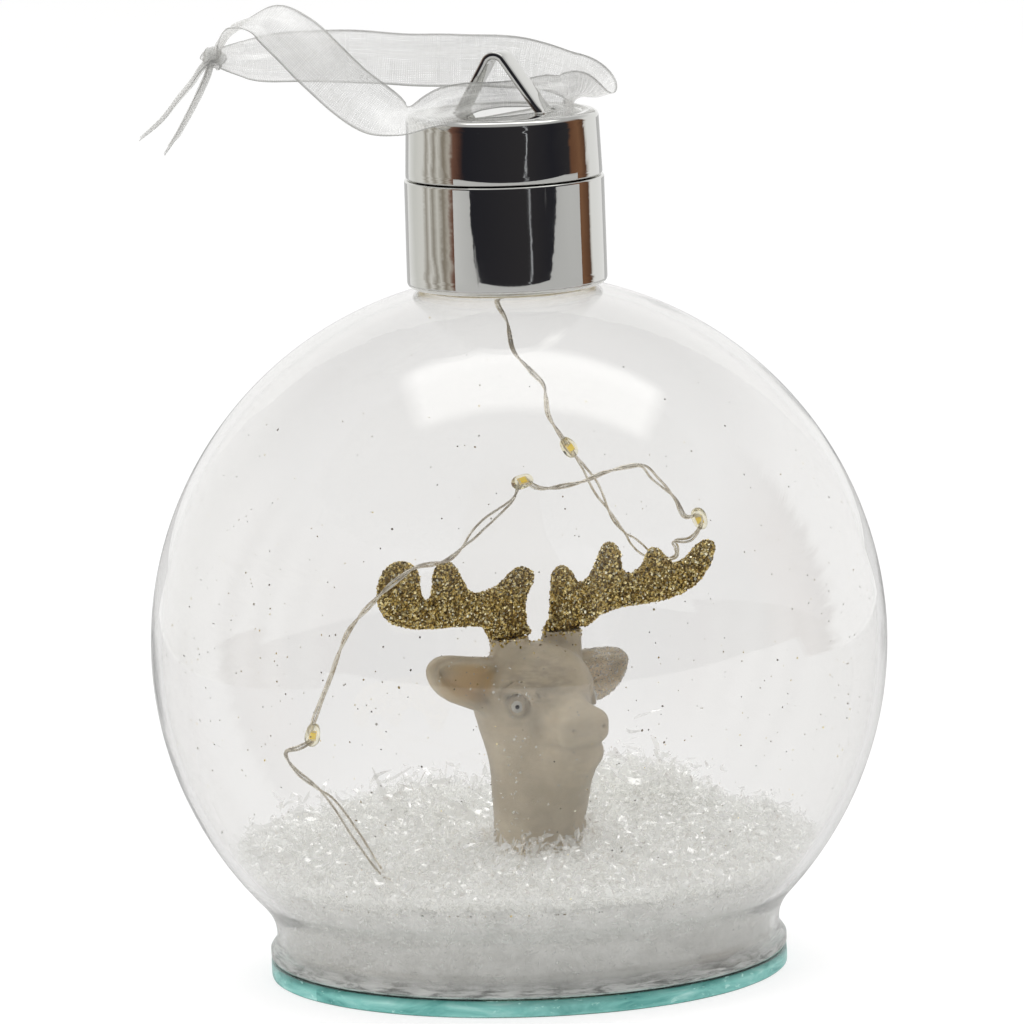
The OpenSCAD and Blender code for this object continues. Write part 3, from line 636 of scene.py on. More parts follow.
def make_resin():
    m, t = material("cast_resin")
    o = t.obj()
    broad = t.noise(85.0, 4.0, 0.6, o)
    grain = t.noise(2600.0, 4.0, 0.7, o)
    brush = t.add("ShaderNodeMapping")
    t.put(brush, {"Vector": o, "Scale": (500.0, 160.0, 1400.0), "Rotation": (0.0, 0.5, 0.3)})
    strokes = t.noise(1.0, 4.0, 0.6, brush.outputs[0])
    col = t.ramp(broad, [(0.30, (0.40, 0.338, 0.24)), (0.5, (0.53, 0.455, 0.335)), (0.70, (0.66, 0.58, 0.44))])
    col = t.mix(t.mapr(strokes, 0.45, 0.8, 0.0, 0.30), col, (0.38, 0.33, 0.26))
    col = t.mix(t.mapr(grain, 0.56, 0.75, 0.0, 0.30), col, (0.64, 0.58, 0.48))
    geo = t.add("ShaderNodeNewGeometry")
    # painted shade: darker in hollows, where the surface curves inwards
    painted_hollow_shade = t.mapr(geo.outputs["Pointiness"], 0.42, 0.5, 0.55, 0.0)
    col = t.mix(painted_hollow_shade, col, (0.25, 0.22, 0.18))
    def blob(centre, radii, inner, outer):
        a = t.add("ShaderNodeVectorMath", operation="SUBTRACT")
        t.put(a, {0: o, 1: tuple(c * MM for c in centre)})
        b = t.add("ShaderNodeVectorMath", operation="DIVIDE")
        t.put(b, {0: a.outputs[0], 1: tuple(r * MM for r in radii)})
        c = t.add("ShaderNodeVectorMath", operation="LENGTH")
        t.put(c, {0: b.outputs[0]})
        return t.mapr(c.outputs["Value"], inner, outer, 1.0, 0.0)
    ears = t.math("ADD", blob((-11.2, -1.6, 48.8), (6.4, 2.2, 3.6), 0.55, 1.1), t.math("MULTIPLY", blob((15.2, -1.6, 46.9), (5.0, 2.2, 3.2), 0.55, 1.1), 0.3), clamp=True)
    col = t.mix(t.math("MULTIPLY", blob((16.0, -1.6, 47.4), (6.5, 4.0, 5.0), 0.5, 1.2), 0.45), col, (0.76, 0.67, 0.53))
    col = t.mix(t.math("MULTIPLY", ears, 0.85), col, (0.68, 0.505, 0.285))
    brow = t.math("MULTIPLY", blob((-2.5, -8.5, 48.6), (6.5, 6.5, 4.2), 0.3, 1.15), t.mapr(strokes, 0.36, 0.62, 0.0, 0.55))
    col = t.mix(brow, col, (0.26, 0.235, 0.20))
    # painted shade in the creases: mouth, sides of the muzzle, round the eyes
    for c_, r_, i_, o_, w_ in (((1.0, -13.4, 38.75), (6.2, 5.6, 0.9), 0.1, 1.2, 0.34),
                               ((-4.9, -10.9, 42.3), (1.3, 2.3, 2.7), 0.2, 1.2, 0.42),
                               ((6.9, -10.9, 42.3), (1.3, 2.3, 2.7), 0.2, 1.2, 0.42),
                               ((1.0, -12.6, 45.6), (4.8, 2.2, 0.9), 0.2, 1.2, 0.22),
                               ((-2.6, -15.9, 41.6), (0.8, 0.8, 0.6), 0.3, 1.1, 0.5),
                               ((-6.3, -8.1, 42.1), (2.0, 2.0, 0.8), 0.2, 1.2, 0.28),
                               ((-7.6, -6.6, 46.7), (3.2, 3.2, 0.75), 0.3, 1.2, 0.45)):
        col = t.mix(t.math("MULTIPLY", blob(c_, r_, i_, o_), w_), col, (0.23, 0.205, 0.165))
    # painted shade in the crease that rings each lid
    for e_ in ((-6.3, -8.1, 44.9), (8.3, -8.1, 44.9)):
        lid_crease_shade = t.math("MULTIPLY", blob(e_, (2.25, 2.25, 2.1), 0.7, 1.2), t.math("SUBTRACT", 1.0, blob(e_, (1.35, 1.35, 1.25), 0.8, 1.1)))
        col = t.mix(t.math("MULTIPLY", lid_crease_shade, 0.5), col, (0.24, 0.215, 0.175))
    # painted light: a lighter patch on the front of the muzzle
    painted_muzzle_light = blob((1.0, -17.0, 41.5), (6.5, 5.5, 5.0), 0.3, 1.2)
    col = t.mix(t.math("MULTIPLY", painted_muzzle_light, 0.18), col, (0.60, 0.54, 0.44))
    # painted shade: darker where the surface turns away from view, towards the outline
    lw = t.add("ShaderNodeLayerWeight")
    t.put(lw, {"Blend": 0.4})
    col = t.mix(t.mapr(lw.outputs["Facing"], 0.35, 1.0, 0.0, 0.5), col, (0.27, 0.24, 0.195))
    h = t.math("ADD", t.math("MULTIPLY", grain, 0.5), t.math("MULTIPLY", strokes, 0.6))
    p = principled(t, Base_Color=col, Roughness=t.mapr(grain, 0.3, 0.8, 0.42, 0.62),
                   Subsurface_Weight=0.12, Subsurface_Radius=(0.0018, 0.0012, 0.0008), Subsurface_Scale=1.0,
                   Normal=t.bump(h, 0.35, 0.00012))
    t.out(p.outputs[0])

    m, t = material("eye_paint")
    o = t.obj()
    n = t.noise(900.0, 3.0, 0.5, o)
    p = principled(t, Base_Color=t.mix(n, (0.40, 0.385, 0.335), (0.53, 0.51, 0.46)), Roughness=0.2,
                   Coat_Weight=0.3, Normal=t.bump(n, 0.1, 0.0001))
    t.out(p.outputs[0])
    m, t = material("eye_pupil")
    o = t.obj()
    n = t.noise(900.0, 3.0, 0.5, o)
    p = principled(t, Base_Color=t.mix(n, (0.012, 0.012, 0.012), (0.03, 0.028, 0.026)), Roughness=0.12, Coat_Weight=0.8)
    t.out(p.outputs[0])


def make_glitter():
    m, t = material("gold_base")
    o = t.obj()
    n = t.noise(1500.0, 3.0, 0.6, o)
    p = principled(t, Base_Color=t.ramp(n, [(0.3, (0.10, 0.062, 0.02)), (0.7, (0.30, 0.21, 0.085))]),
                   Metallic=0.6, Roughness=0.5, Normal=t.bump(n, 0.9, 0.0003))
    t.out(p.outputs[0])

    m, t = material("gold_glitter")
    geo = t.add("ShaderNodeNewGeometry")
    r = geo.outputs["Random Per Island"]
    col = t.ramp(r, [(0.0, (0.22, 0.14, 0.036)), (0.25, (0.50, 0.355, 0.105)), (0.55, (0.79, 0.62, 0.235)),
                     (0.8, (0.99, 0.86, 0.47)), (1.0, (1.0, 0.98, 0.80))])
    n = t.noise(4000.0, 2.0, 0.5, t.obj())
    p = principled(t, Base_Color=col, Metallic=1.0, Roughness=t.mapr(n, 0.3, 0.7, 0.20, 0.36))
    t.out(p.outputs[0])

    m, t = material("clear_glitter")
    geo = t.add("ShaderNodeNewGeometry")
    r = geo.outputs["Random Per Island"]
    col = t.ramp(r, [(0.0, (0.70, 0.67, 0.62)), (0.5, (0.88, 0.86, 0.82)), (1.0, (0.98, 0.98, 0.97))])
    p = principled(t, Base_Color=col, Metallic=0.15, Roughness=0.25, Alpha=0.55)
    t.out(p.outputs[0])

    m, t = material("dark_speck")
    geo = t.add("ShaderNodeNewGeometry")
    r = geo.outputs["Random Per Island"]
    col = t.ramp(r, [(0.0, (0.03, 0.025, 0.02)), (0.6, (0.18, 0.14, 0.08)), (0.8, (0.35, 0.25, 0.1)), (1.0, (0.5, 0.5, 0.48))])
    p = principled(t, Base_Color=col, Metallic=0.3, Roughness=0.4)
    t.out(p.outputs[0])


def make_flakes():
    m, t = material("flakes")
    geo = t.add("ShaderNodeNewGeometry")
    r = geo.outputs["Random Per Island"]
    n = t.noise(900.0, 3.0, 0.6, t.obj())
    col = t.ramp(r, [(0.0, (0.78, 0.775, 0.755)), (0.5, (0.90, 0.895, 0.875)), (1.0, (1.0, 1.0, 0.985))])
    hz = t.add("ShaderNodeSeparateXYZ")
    t.put(hz, {0: t.obj()})
    # painted shade: the flakes darker towards the bottom
    low = t.mapr(hz.outputs["Z"], 0.004, 0.0235, 0.84, 1.0)
    col = t.mix(1.0, col, t.ramp(low, [(0.0, 0.0), (1.0, 1.0)]), "MULTIPLY")
    nrm = t.bump(n, 0.35, 0.0003)
    dif = t.shade("ShaderNodeBsdfDiffuse", Color=col, Normal=nrm)
    trl = t.shade("ShaderNodeBsdfTranslucent", Color=col, Normal=nrm)
    gls = t.shade("ShaderNodeBsdfGlossy", Color=(1, 1, 1), Roughness=0.22, Normal=nrm)
    clr = t.shade("ShaderNodeBsdfTransparent", Color=(0.98, 0.985, 0.985))
    a = t.mixs(0.55, dif, trl)
    lw = t.add("ShaderNodeLayerWeight")
    t.put(lw, {"Blend": 0.35})
    a = t.mixs(t.mapr(lw.outputs["Fresnel"], 0.0, 1.0, 0.06, 0.55), a, gls)
    # a painted glow, standing in for light that has bounced between many flakes
    painted_glow = t.shade("ShaderNodeEmission", Color=(1.0, 1.0, 0.98), Strength=0.085)
    add = t.add("ShaderNodeAddShader")
    t.put(add, {0: a, 1: painted_glow})
    t.out(t.mixs(t.mapr(r, 0.0, 1.0, 0.26, 0.60), add.outputs[0], clr))

    m, t = material("flake_mass")
    o = t.obj()
    n1 = t.noise(260.0, 5.0, 0.65, o)
    n2 = t.noise(1200.0, 4.0, 0.7, o)
    col = t.ramp(t.math("ADD", t.math("MULTIPLY", n1, 0.6), t.math("MULTIPLY", n2, 0.4)),
                 [(0.32, (0.68, 0.68, 0.655)), (0.5, (0.83, 0.828, 0.805)), (0.68, (0.95, 0.948, 0.93))])
    hz = t.add("ShaderNodeSeparateXYZ")
    t.put(hz, {0: o})
    # painted shade: the mass darker towards the bottom
    low = t.mapr(hz.outputs["Z"], 0.004, 0.0235, 0.82, 1.0)
    col = t.mix(1.0, col, t.ramp(low, [(0.0, 0.0), (1.0, 1.0)]), "MULTIPLY")
    h = t.math("ADD", n1, t.math("MULTIPLY", n2, 0.5))
    nrm = t.bump(h, 0.8, 0.0009)
    dif = t.shade("ShaderNodeBsdfDiffuse", Color=col, Normal=nrm)
    trl = t.shade("ShaderNodeBsdfTranslucent", Color=col, Normal=nrm)
    # a painted glow, standing in for light that has bounced through the mass
    painted_glow = t.shade("ShaderNodeEmission", Color=col, Strength=0.125)
    add = t.add("ShaderNodeAddShader")
    t.put(add, {0: t.mixs(0.35, dif, trl), 1: painted_glow})
    t.out(add.outputs[0])


def make_soft():
    m, t = material("organza")
    uv = t.uv()
    sep = t.add("ShaderNodeSeparateXYZ")
    t.put(sep, {0: uv})
    # u runs 0..1 across the width, v runs along in millimetres
    u, v = sep.outputs["X"], sep.outputs["Y"]
    warp = t.math("ABSOLUTE", t.math("SINE", t.math("MULTIPLY", u, math.pi * 30)))
    weft = t.math("ABSOLUTE", t.math("SINE", t.math("MULTIPLY", v, math.pi / 0.36)))
    slub = t.add("ShaderNodeCombineXYZ")
    t.put(slub, {0: t.math("MULTIPLY", u, 30.0), 1: t.math("MULTIPLY", v, 0.16), 2: 0.0})
    s1 = t.noise(1.0, 2.0, 0.6, slub.outputs[0])
    slub2 = t.add("ShaderNodeCombineXYZ")
    t.put(slub2, {0: t.math("MULTIPLY", u, 1.2), 1: t.math("MULTIPLY", v, 2.6), 2: 4.0})
    s2 = t.noise(1.0, 2.0, 0.6, slub2.outputs[0])
    thread = t.math("MAXIMUM", t.math("POWER", warp, 2.0), t.math("POWER", weft, 2.0))
    edge = t.math("ABSOLUTE", t.math("SUBTRACT", t.math("MULTIPLY", u, 2.0), 1.0))
    selv = t.mapr(edge, 0.90, 0.95, 0.0, 1.0)
    dens = t.math("ADD", t.mapr(thread, 0.0, 1.0, 0.14, 0.43),
                  t.math("ADD", t.mapr(s1, 0.35, 0.7, -0.06, 0.10), t.mapr(s2, 0.35, 0.7, -0.06, 0.08)))
    dens = t.math("ADD", dens, t.math("MULTIPLY", selv, 0.34), clamp=True)
    col = t.mix(selv, (0.90, 0.90, 0.885), (0.60, 0.60, 0.58))
    nrm = t.bump(thread, 0.25, 0.0001)
    dif = t.shade("ShaderNodeBsdfDiffuse", Color=col, Normal=nrm)
    trl = t.shade("ShaderNodeBsdfTranslucent", Color=col, Normal=nrm)
    gls = t.shade("ShaderNodeBsdfGlossy", Color=(0.95, 0.95, 0.95), Roughness=0.32, Normal=nrm)
    body = t.mixs(0.18, t.mixs(0.5, dif, trl), gls)
    clr = t.shade("ShaderNodeBsdfTransparent", Color=(1, 1, 1))
    t.out(t.mixs(dens, clr, body))


def make_wire():
    m, t = material("wire_metal")
    o = t.obj()
    n = t.noise(700.0, 3.0, 0.6, o)
    col = t.ramp(n, [(0.3, (0.50, 0.44, 0.34)), (0.55, (0.78, 0.73, 0.62)), (0.8, (0.94, 0.92, 0.86))])
    p = principled(t, Base_Color=col, Metallic=0.9, Roughness=t.mapr(n, 0.3, 0.8, 0.18, 0.38),
                   Coat_Weight=0.5, Coat_Roughness=0.1, Normal=t.bump(n, 0.2, 0.00006))
    t.out(p.outputs[0])

    m, t = material("clear_epoxy")
    o = t.obj()
    n = t.noise(700.0, 3.0, 0.5, o)
    t.out(glass_body(t, (0.97, 0.95, 0.86), 0.04, t.bump(n, 0.15, 0.0002), 1.5, 0.92))

    m, t = material("chip_yellow")
    o = t.obj()
    n = t.noise(2500.0, 3.0, 0.5, o)
    col = t.mix(n, (0.80, 0.55, 0.03), (0.98, 0.78, 0.12))
    # the chip also gets a faint painted glow of its own colour
    p = principled(t, Base_Color=col, Roughness=0.45, Emission_Color=col, Emission_Strength=0.25)
    t.out(p.outputs[0])


def make_inner():
    def simple(name, c1, c2, rough, metal=0.0, scale=400.0, bump=0.2, dist=0.0001, **kw):
        m, t = material(name)
        o = t.obj()
        n = t.noise(scale, 4.0, 0.6, o)
        p = principled(t, Base_Color=t.mix(t.mapr(n, 0.3, 0.7, 0.0, 1.0), c1, c2), Metallic=metal,
                       Roughness=t.mapr(n, 0.25, 0.75, rough[0], rough[1]), Normal=t.bump(n, bump, dist), **kw)
        t.out(p.outputs[0])

    simple("glue_bead", (0.62, 0.53, 0.36), (0.80, 0.73, 0.56), (0.2, 0.4), scale=300.0, Transmission_Weight=0.25)
    simple("dark_rubber", (0.02, 0.02, 0.02), (0.05, 0.05, 0.05), (0.6, 0.8), scale=900.0)
    simple("component", (0.012, 0.012, 0.012), (0.035, 0.035, 0.035), (0.35, 0.55), scale=1500.0)
    simple("white_plastic", (0.78, 0.775, 0.75), (0.88, 0.875, 0.85), (0.32, 0.5), scale=500.0)
    simple("contact_brass", (0.66, 0.47, 0.18), (0.86, 0.68, 0.34), (0.18, 0.38), 1.0, 700.0)

    m, t = material("board")
    o = t.obj()
    w = t.add("ShaderNodeTexBrick")
    t.put(w, {"Vector": o, "Scale": 240.0, "Mortar Size": 0.06, "Color1": (0.015, 0.14, 0.06),
              "Color2": (0.02, 0.18, 0.08), "Mortar": (0.05, 0.34, 0.16)})
    n = t.noise(900.0, 3.0, 0.6, o)
    p = principled(t, Base_Color=w.outputs[0], Roughness=t.mapr(n, 0.3, 0.7, 0.25, 0.4), Coat_Weight=0.3,
                   Normal=t.bump(w.outputs[1], 0.2, 0.0001))
    t.out(p.outputs[0])

    m, t = material("cell_steel")
    o = t.obj()
    mp = t.add("ShaderNodeMapping")
    t.put(mp, {"Vector": o, "Scale": (300.0, 300.0, 3000.0)})
    n = t.noise(1.0, 4.0, 0.6, mp.outputs[0])
    n2 = t.noise(420.0, 4.0, 0.6, o)
    p = principled(t, Base_Color=t.mix(n2, (0.62, 0.62, 0.63), (0.80, 0.80, 0.81)), Metallic=1.0,
                   Roughness=t.mapr(n, 0.3, 0.7, 0.16, 0.36), Normal=t.bump(n, 0.12, 0.0001))
    t.out(p.outputs[0])


for maker in (make_glass, make_chrome, make_resin, make_glitter, make_flakes, make_soft, make_wire, make_inner):
    maker()


def dress(node, mat):
    """Gives a carried-over CAD node a procedural finish."""
    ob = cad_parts[node]
    if not ob.material_slots:
        ob.data.materials.append(MATS[mat])
    for s in ob.material_slots:
        s.material = MATS[mat]


# ------------------------------------------------------------------ floor
FLOOR_GLOW = 0.66


def make_floor():
    m, t = material("floor_white")
    n = t.noise(8.0, 2.0, 0.5, t.obj())
    d = t.shade("ShaderNodeBsdfDiffuse", Color=t.mix(n, (0.29, 0.29, 0.29), (0.31, 0.31, 0.31)))
    e = t.shade("ShaderNodeEmission", Color=(1, 1, 1), Strength=FLOOR_GLOW)
    lp = t.add("ShaderNodeLightPath")
    e2 = t.shade("ShaderNodeEmission", Color=(1, 1, 1), Strength=0.32)
    add = t.add("ShaderNodeAddShader")
    # rays that come through slightly rough glass count as glossy too, so they are told apart
    mirror = t.math("MULTIPLY", lp.outputs["Is Glossy Ray"], t.math("SUBTRACT", 1.0, lp.outputs["Is Transmission Ray"]))
    e3 = t.shade("ShaderNodeEmission", Color=(1, 1, 1), Strength=0.75)
    t.put(add, {0: d, 1: t.mixs(lp.outputs["Is Camera Ray"], t.mixs(mirror, e, e2), e3)})
    t.out(add.outputs[0])
    # (azimuth from the camera in degrees, distance): a sheet of board cut away at the sides
    rim = [(-62, 1.6), (-54.8, 1.6), (74.8, 1.6), (96, 1.6), (96, 0.5), (150, 0.6), (150, 2.0), (180, 1.8),
           (-150, 2.0), (-150, 0.6), (-62, 0.5)]
    pts = []
    for az, dist in rim:
        a = math.radians(az)
        if dist == 1.6 and -60 < az < 80:
            dist = 0.68 / math.cos(a - math.radians(10))
        pts.append((TOWARD * math.cos(a) + RIGHT * math.sin(a)) * dist)
    # the straight front edge runs between its two ends
    ob = add_object("floor", [tuple(p / MM) for p in pts], [tuple(range(len(pts)))], m)
    ob.location.z = -0.00002


make_floor()


# ------------------------------------------------------------------ glass and base
def unit2(x, y):
    n = math.hypot(x, y)
    return x / n, y / n


def make_globe():
    R, RI, CZ, JZ, BORE = 60.0, 58.4, 54.0, 13.0, 11.4
    ro, ri = math.sqrt(R * R - (CZ - JZ) ** 2), math.sqrt(RI * RI - (CZ - JZ) ** 2)
    sx, sy = unit2(-(CZ - JZ) / ro, -1)
    outer = [(ro, JZ), (ro + 2.8 * sx, JZ + 2.8 * sy), (41.1, 9.2), (41.1, 6.9)]
    lip = [(41.1, 6.9), (41.1, 5.9), (41.7, 5.6), (42.2, 4.7)]
    inner = [(ri, JZ), (ri + 2.4 * sx, JZ + 2.4 * sy), (39.5, 9.6), (39.4, 7.4)]
    lo_o, lo_i = math.degrees(math.asin((JZ - CZ) / R)), math.degrees(math.asin((JZ - CZ) / RI))
    hi_o, hi_i = 76.0, 77.2
    p = [(39.4, 3.2), (40.6, 3.2), (41.7, 3.2), (41.93, 3.25), (42.1, 3.36), (42.18, 3.5), (42.2, 3.8)]
    p += cubic(lip, 8)[::-1]
    p += cubic(outer, 14)[::-1][1:-1]
    p += arc(0, CZ, R, lo_o, hi_o, 132)
    # the neck is drawn up from the ball with a small fillet
    ox, oz = R * math.cos(math.radians(hi_o)), CZ + R * math.sin(math.radians(hi_o))
    tx, tz = -math.sin(math.radians(hi_o)), math.cos(math.radians(hi_o))
    p += cubic([(ox, oz), (ox + 1.1 * tx, oz + 1.1 * tz), (13.0, 112.35), (13.0, 113.2)], 8, True)
    p += [(13.0, 115), (13.0, 118), (13.0, 119.9)] + arc(12.5, 119.9, 0.5, 0, 90, 4)[1:]
    p += arc(11.9, 119.9, 0.5, 90, 180, 4)[0:] + [(BORE, 118), (BORE, 115)]
    ix, iz = RI * math.cos(math.radians(hi_i)), CZ + RI * math.sin(math.radians(hi_i))
    tx, tz = -math.sin(math.radians(hi_i)), math.cos(math.radians(hi_i))
    p += cubic([(BORE, 112.4), (BORE, 111.6), (ix + 0.9 * tx, iz + 0.9 * tz), (ix, iz)], 8)[:-1]
    p += arc(0, CZ, RI, hi_i, lo_i, 132)
    p += cubic(inner, 10)[1:]

    def wobble(r, z, t):
        # hand-blown: the foot and waist run slightly out of true
        k = max(0.0, 1 - abs(z - 8.5) / 5.5)
        return k * (0.05 * math.sin(2 * t + 0.7) + 0.03 * math.sin(5 * t + 2.0)) if 4.9 < z < 14 and r < 43.5 else 0.0

    ob = lathe("glass_ball", p, MATS["clear_glass"], 224, wobble=wobble)
    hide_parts("glass_globe")
    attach(ob, "globe")
    return ob


def make_disc():
    r, t = 42.2, 3.0
    p = [(0, 0), (12, 0), (24, 0), (36, 0), (41.2, 0.0)] + arc(r - 0.5, 0.5, 0.5, -90, 0, 5) + [(r, 1.0), (r, 1.5), (r, 2.0)]
    p += arc(r - 0.4, t - 0.4, 0.4, 0, 90, 5) + [(41.0, t), (36, t), (24, t), (12, t), (0, t)]
    ob = lathe("base_plate", p, MATS["float_glass"], 256, closed=False,
               wobble=lambda r_, z, a: (0.035 * math.sin(7 * a + z) + 0.02 * math.sin(23 * a + 3 * z)) if r_ > 41.3 and r_ < 42.21 else 0.0)
    # the ground edge may only wander inwards
    for v in ob.data.vertices:
        rr = math.hypot(v.co.x, v.co.y)
        if rr > 0.0422:
            v.co.x *= 0.0422 / rr
            v.co.y *= 0.0422 / rr
    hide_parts("base_disc")
    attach(ob, "globe")


make_globe()
make_disc()


# ------------------------------------------------------------------ snow
MOUNDS = [(3, -4, 40, 23.2), (34, 17, 24, 26.5), (4, 36, 30, 23.4), (-22, 24, 30, 22)]
STEM = (1.0, -2.5)


def snow_height(x, y):
    x, y = np.asarray(x, float), np.asarray(y, float)
    h = np.full(x.shape, 20.3)
    for mx, my, r, top in MOUNDS:
        d2 = (x - mx) ** 2 + (y - my) ** 2
        hh = np.where(d2 < r * r, top - r + np.sqrt(np.maximum(r * r - d2, 0)), -50)
        h = np.maximum(h, hh) + 0.0
    P = np.stack([x / 7.0, y / 7.0, np.zeros_like(x)], -1).reshape(-1, 3)
    h = h + 0.9 * fractal(P, 4, 5).reshape(x.shape)
    # banked a little against the figure's neck, low right beside it
    d = np.hypot(x - STEM[0], y - STEM[1])
    h = h - 1.0 * np.exp(-((d - 8.0) / 2.4) ** 2)
    return h


def inner_radius(z):
    """Inside of the glass at height z, in mm."""
    z = np.asarray(z, float)
    r = np.sqrt(np.maximum(58.4 ** 2 - (54 - z) ** 2, 1))
    low = 39.4 + (np.sqrt(58.4 ** 2 - 41 ** 2) - 39.4) * np.clip((z - 7.4) / 5.6, 0, 1) ** 1.7
    return np.where(z >= 13, r, low)


def make_snow():
    rng = np.random.default_rng(7)
    # settled mass under the loose flakes
    nr, na = 110, 360
    a = np.linspace(0, 2 * np.pi, na, endpoint=False)
    verts, rows = [], []

    def ring(rr, zz):
        rows.append(len(verts))
        for k in range(na):
            verts.append((STEM[0] * (1 - rr[k] / 45) + rr[k] * math.cos(a[k]), STEM[1] * (1 - rr[k] / 45) + rr[k] * math.sin(a[k]), zz[k]))

    # bottom, outwards from the neck
    for rr in (8.7, 20, 30, 38.6):
        ring(np.full(na, rr), np.full(na, 3.12))
    for z in np.linspace(3.6, 18.4, 24):
        A = np.stack([np.cos(a) * 9, np.sin(a) * 9, np.full(na, z * 0.5)], -1)
        ring(inner_radius(np.full(na, z)) - 0.60 - 0.035 * max(0.0, z - 8) + 0.25 * fractal(A, 3, 9), np.full(na, z))
    # surface, inwards
    edge = inner_radius(np.full(na, 18.8)) - 1.5
    for i in range(nr):
        t = 1 - i / (nr - 1)
        rr = 8.7 + (edge - 8.7) * t
        x = STEM[0] * (1 - rr / 45) + rr * np.cos(a)
        y = STEM[1] * (1 - rr / 45) + rr * np.sin(a)
        z = snow_height(x, y) - 1.5 + 0.55 * fractal(np.stack([x * 0.9, y * 0.9, 0 * x], -1), 3, 21)
        floor_z = 15.4 + 3.2 * np.clip((rr - 30) / (edge - 30), 0, 1)
        ring(rr, np.maximum(z, floor_z))
    faces = []
    nrows = len(rows)
    for i in range(nrows):
        p, q = rows[i], rows[(i + 1) % nrows]
        for k in range(na):
            k2 = (k + 1) % na
            faces.append((p + k, p + k2, q + k2, q + k))
    mass = add_object("snow_mass", verts, np.array(faces), MATS["flake_mass"])
    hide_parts("snow_bed")
    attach(mass, "globe")

    def shards(name, pos, lng, wid, flat, mat, curl=1.0):
        """Curled, torn strips of film about each position."""
        n = len(pos)
        nrm = rng.normal(size=(n, 3))
        nrm[:, 2] = np.abs(nrm[:, 2]) + flat
        nrm /= np.linalg.norm(nrm, axis=1, keepdims=True)
        d = rng.normal(size=(n, 3))
        d -= (d * nrm).sum(1)[:, None] * nrm
        d /= np.linalg.norm(d, axis=1, keepdims=True)
        e = np.cross(nrm, d)
        L = lng * rng.lognormal(0, 0.35, n)
        W = wid * rng.lognormal(0, 0.35, n)
        bend = rng.normal(0, 0.9 * curl, n)
        side = rng.normal(0, 0.35, n)
        twist = rng.normal(0, 0.6 * curl, n)
        seg = 4
        vv = np.empty((n, (seg + 1) * 2, 3))
        for i in range(seg + 1):
            u = i / seg - 0.5
            taper = np.clip(1.0 - (2 * abs(u)) ** 2.2 * rng.uniform(0.4, 0.95, n), 0.05, 1)
            c = pos + d * (u * L)[:, None] + nrm * (bend * L * (u * u - 0.08))[:, None] + e * (side * L * u * u)[:, None]
            ang = twist * u
            w = e * np.cos(ang)[:, None] + nrm * np.sin(ang)[:, None]
            for s, k in ((-1, 0), (1, 1)):
                vv[:, 2 * i + k] = c + w * (s * 0.5 * W * taper * rng.uniform(0.75, 1.25, n))[:, None]
        lim = np.linalg.norm(vv - np.array([0, 0, 54.0]), axis=2)
        z = vv[..., 2]
        rad = np.hypot(vv[..., 0], vv[..., 1])
        ok = (np.where(z > 13, lim < 58.25, rad < inner_radius(z) - 0.15)).all(1) & (z.min(1) > 3.2)
        ds = np.hypot(vv[..., 0] - STEM[0], vv[..., 1] - STEM[1]).min(1)
        ok &= ds > 7.7
        vv = vv[ok]
        m = len(vv)
        base = (np.arange(m) * (seg + 1) * 2)[:, None, None]
        q = np.array([[2 * i, 2 * i + 1, 2 * i + 3, 2 * i + 2] for i in range(seg)])[None]
        f = (base + q).reshape(-1, 4)
        ob = add_object(name, vv.reshape(-1, 3), f, mat, smooth=True)
        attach(ob, "globe")
        return ob

    def scatter(n, rmax):
        rr = rmax * np.sqrt(rng.uniform(0, 1, n))
        t = rng.uniform(0, 2 * np.pi, n)
        return rr * np.cos(t), rr * np.sin(t)

    x, y = scatter(31000, 47.0)
    h = snow_height(x, y)
    up = rng.exponential(0.95, len(x)) - 1.6
    keep = np.hypot(x - STEM[0], y - STEM[1]) > 8.2
    pos = np.stack([x, y, h + up], -1)[keep]
    half = len(pos) // 2
    shards("snow_flakes_a", pos[:half], 2.1, 0.52, 0.7, MATS["flakes"])
    shards("snow_flakes_b", pos[half:], 1.55, 0.80, 0.6, MATS["flakes"])
    # pressed against the glass, all the way down the side
    n = 30000
    t = rng.uniform(0, 2 * np.pi, n)
    z = np.where(rng.random(n) < 0.42, np.maximum(21.5 - rng.exponential(3.4, n), 3.7), rng.uniform(3.6, 22.5, n))
    rr = inner_radius(z) - 0.2 - rng.exponential(0.45, n) * (1 + 0.06 * np.maximum(z - 10, 0))
    pos = np.stack([rr * np.cos(t), rr * np.sin(t), z], -1)
    top = snow_height(pos[:, 0], pos[:, 1])
    pos = pos[z < top + 0.8]
    shards("snow_flakes_side", pos, 1.5, 0.6, 0.0, MATS["flakes"], 0.5)
    # large curls that stand up, more at the back
    x, y = scatter(2300, 45.5)
    w = np.clip(0.35 + 0.65 * (y + 5) / 45, 0.15, 1)
    k = (rng.uniform(0, 1, len(x)) < w) & (np.hypot(x - STEM[0], y - STEM[1]) > 8.6)
    x, y = x[k], y[k]
    pos = np.stack([x, y, snow_height(x, y) + rng.exponential(1.1, len(x)) + 0.1], -1)
    shards("snow_curls", pos, 3.0, 0.7, 0.0, MATS["flakes"], 1.5)
    # flakes that cling round the foot of the neck
    n = 420
    t = rng.uniform(0, 2 * np.pi, n)
    rr = 7.9 + rng.exponential(0.5, n)
    x, y = STEM[0] + rr * np.cos(t), STEM[1] + rr * np.sin(t)
    pos = np.stack([x, y, snow_height(x, y) + rng.exponential(0.8, n) + 0.3], -1)
    shards("snow_round_neck", pos, 1.6, 0.5, -0.2, MATS["flakes"], 1.2)


make_snow()


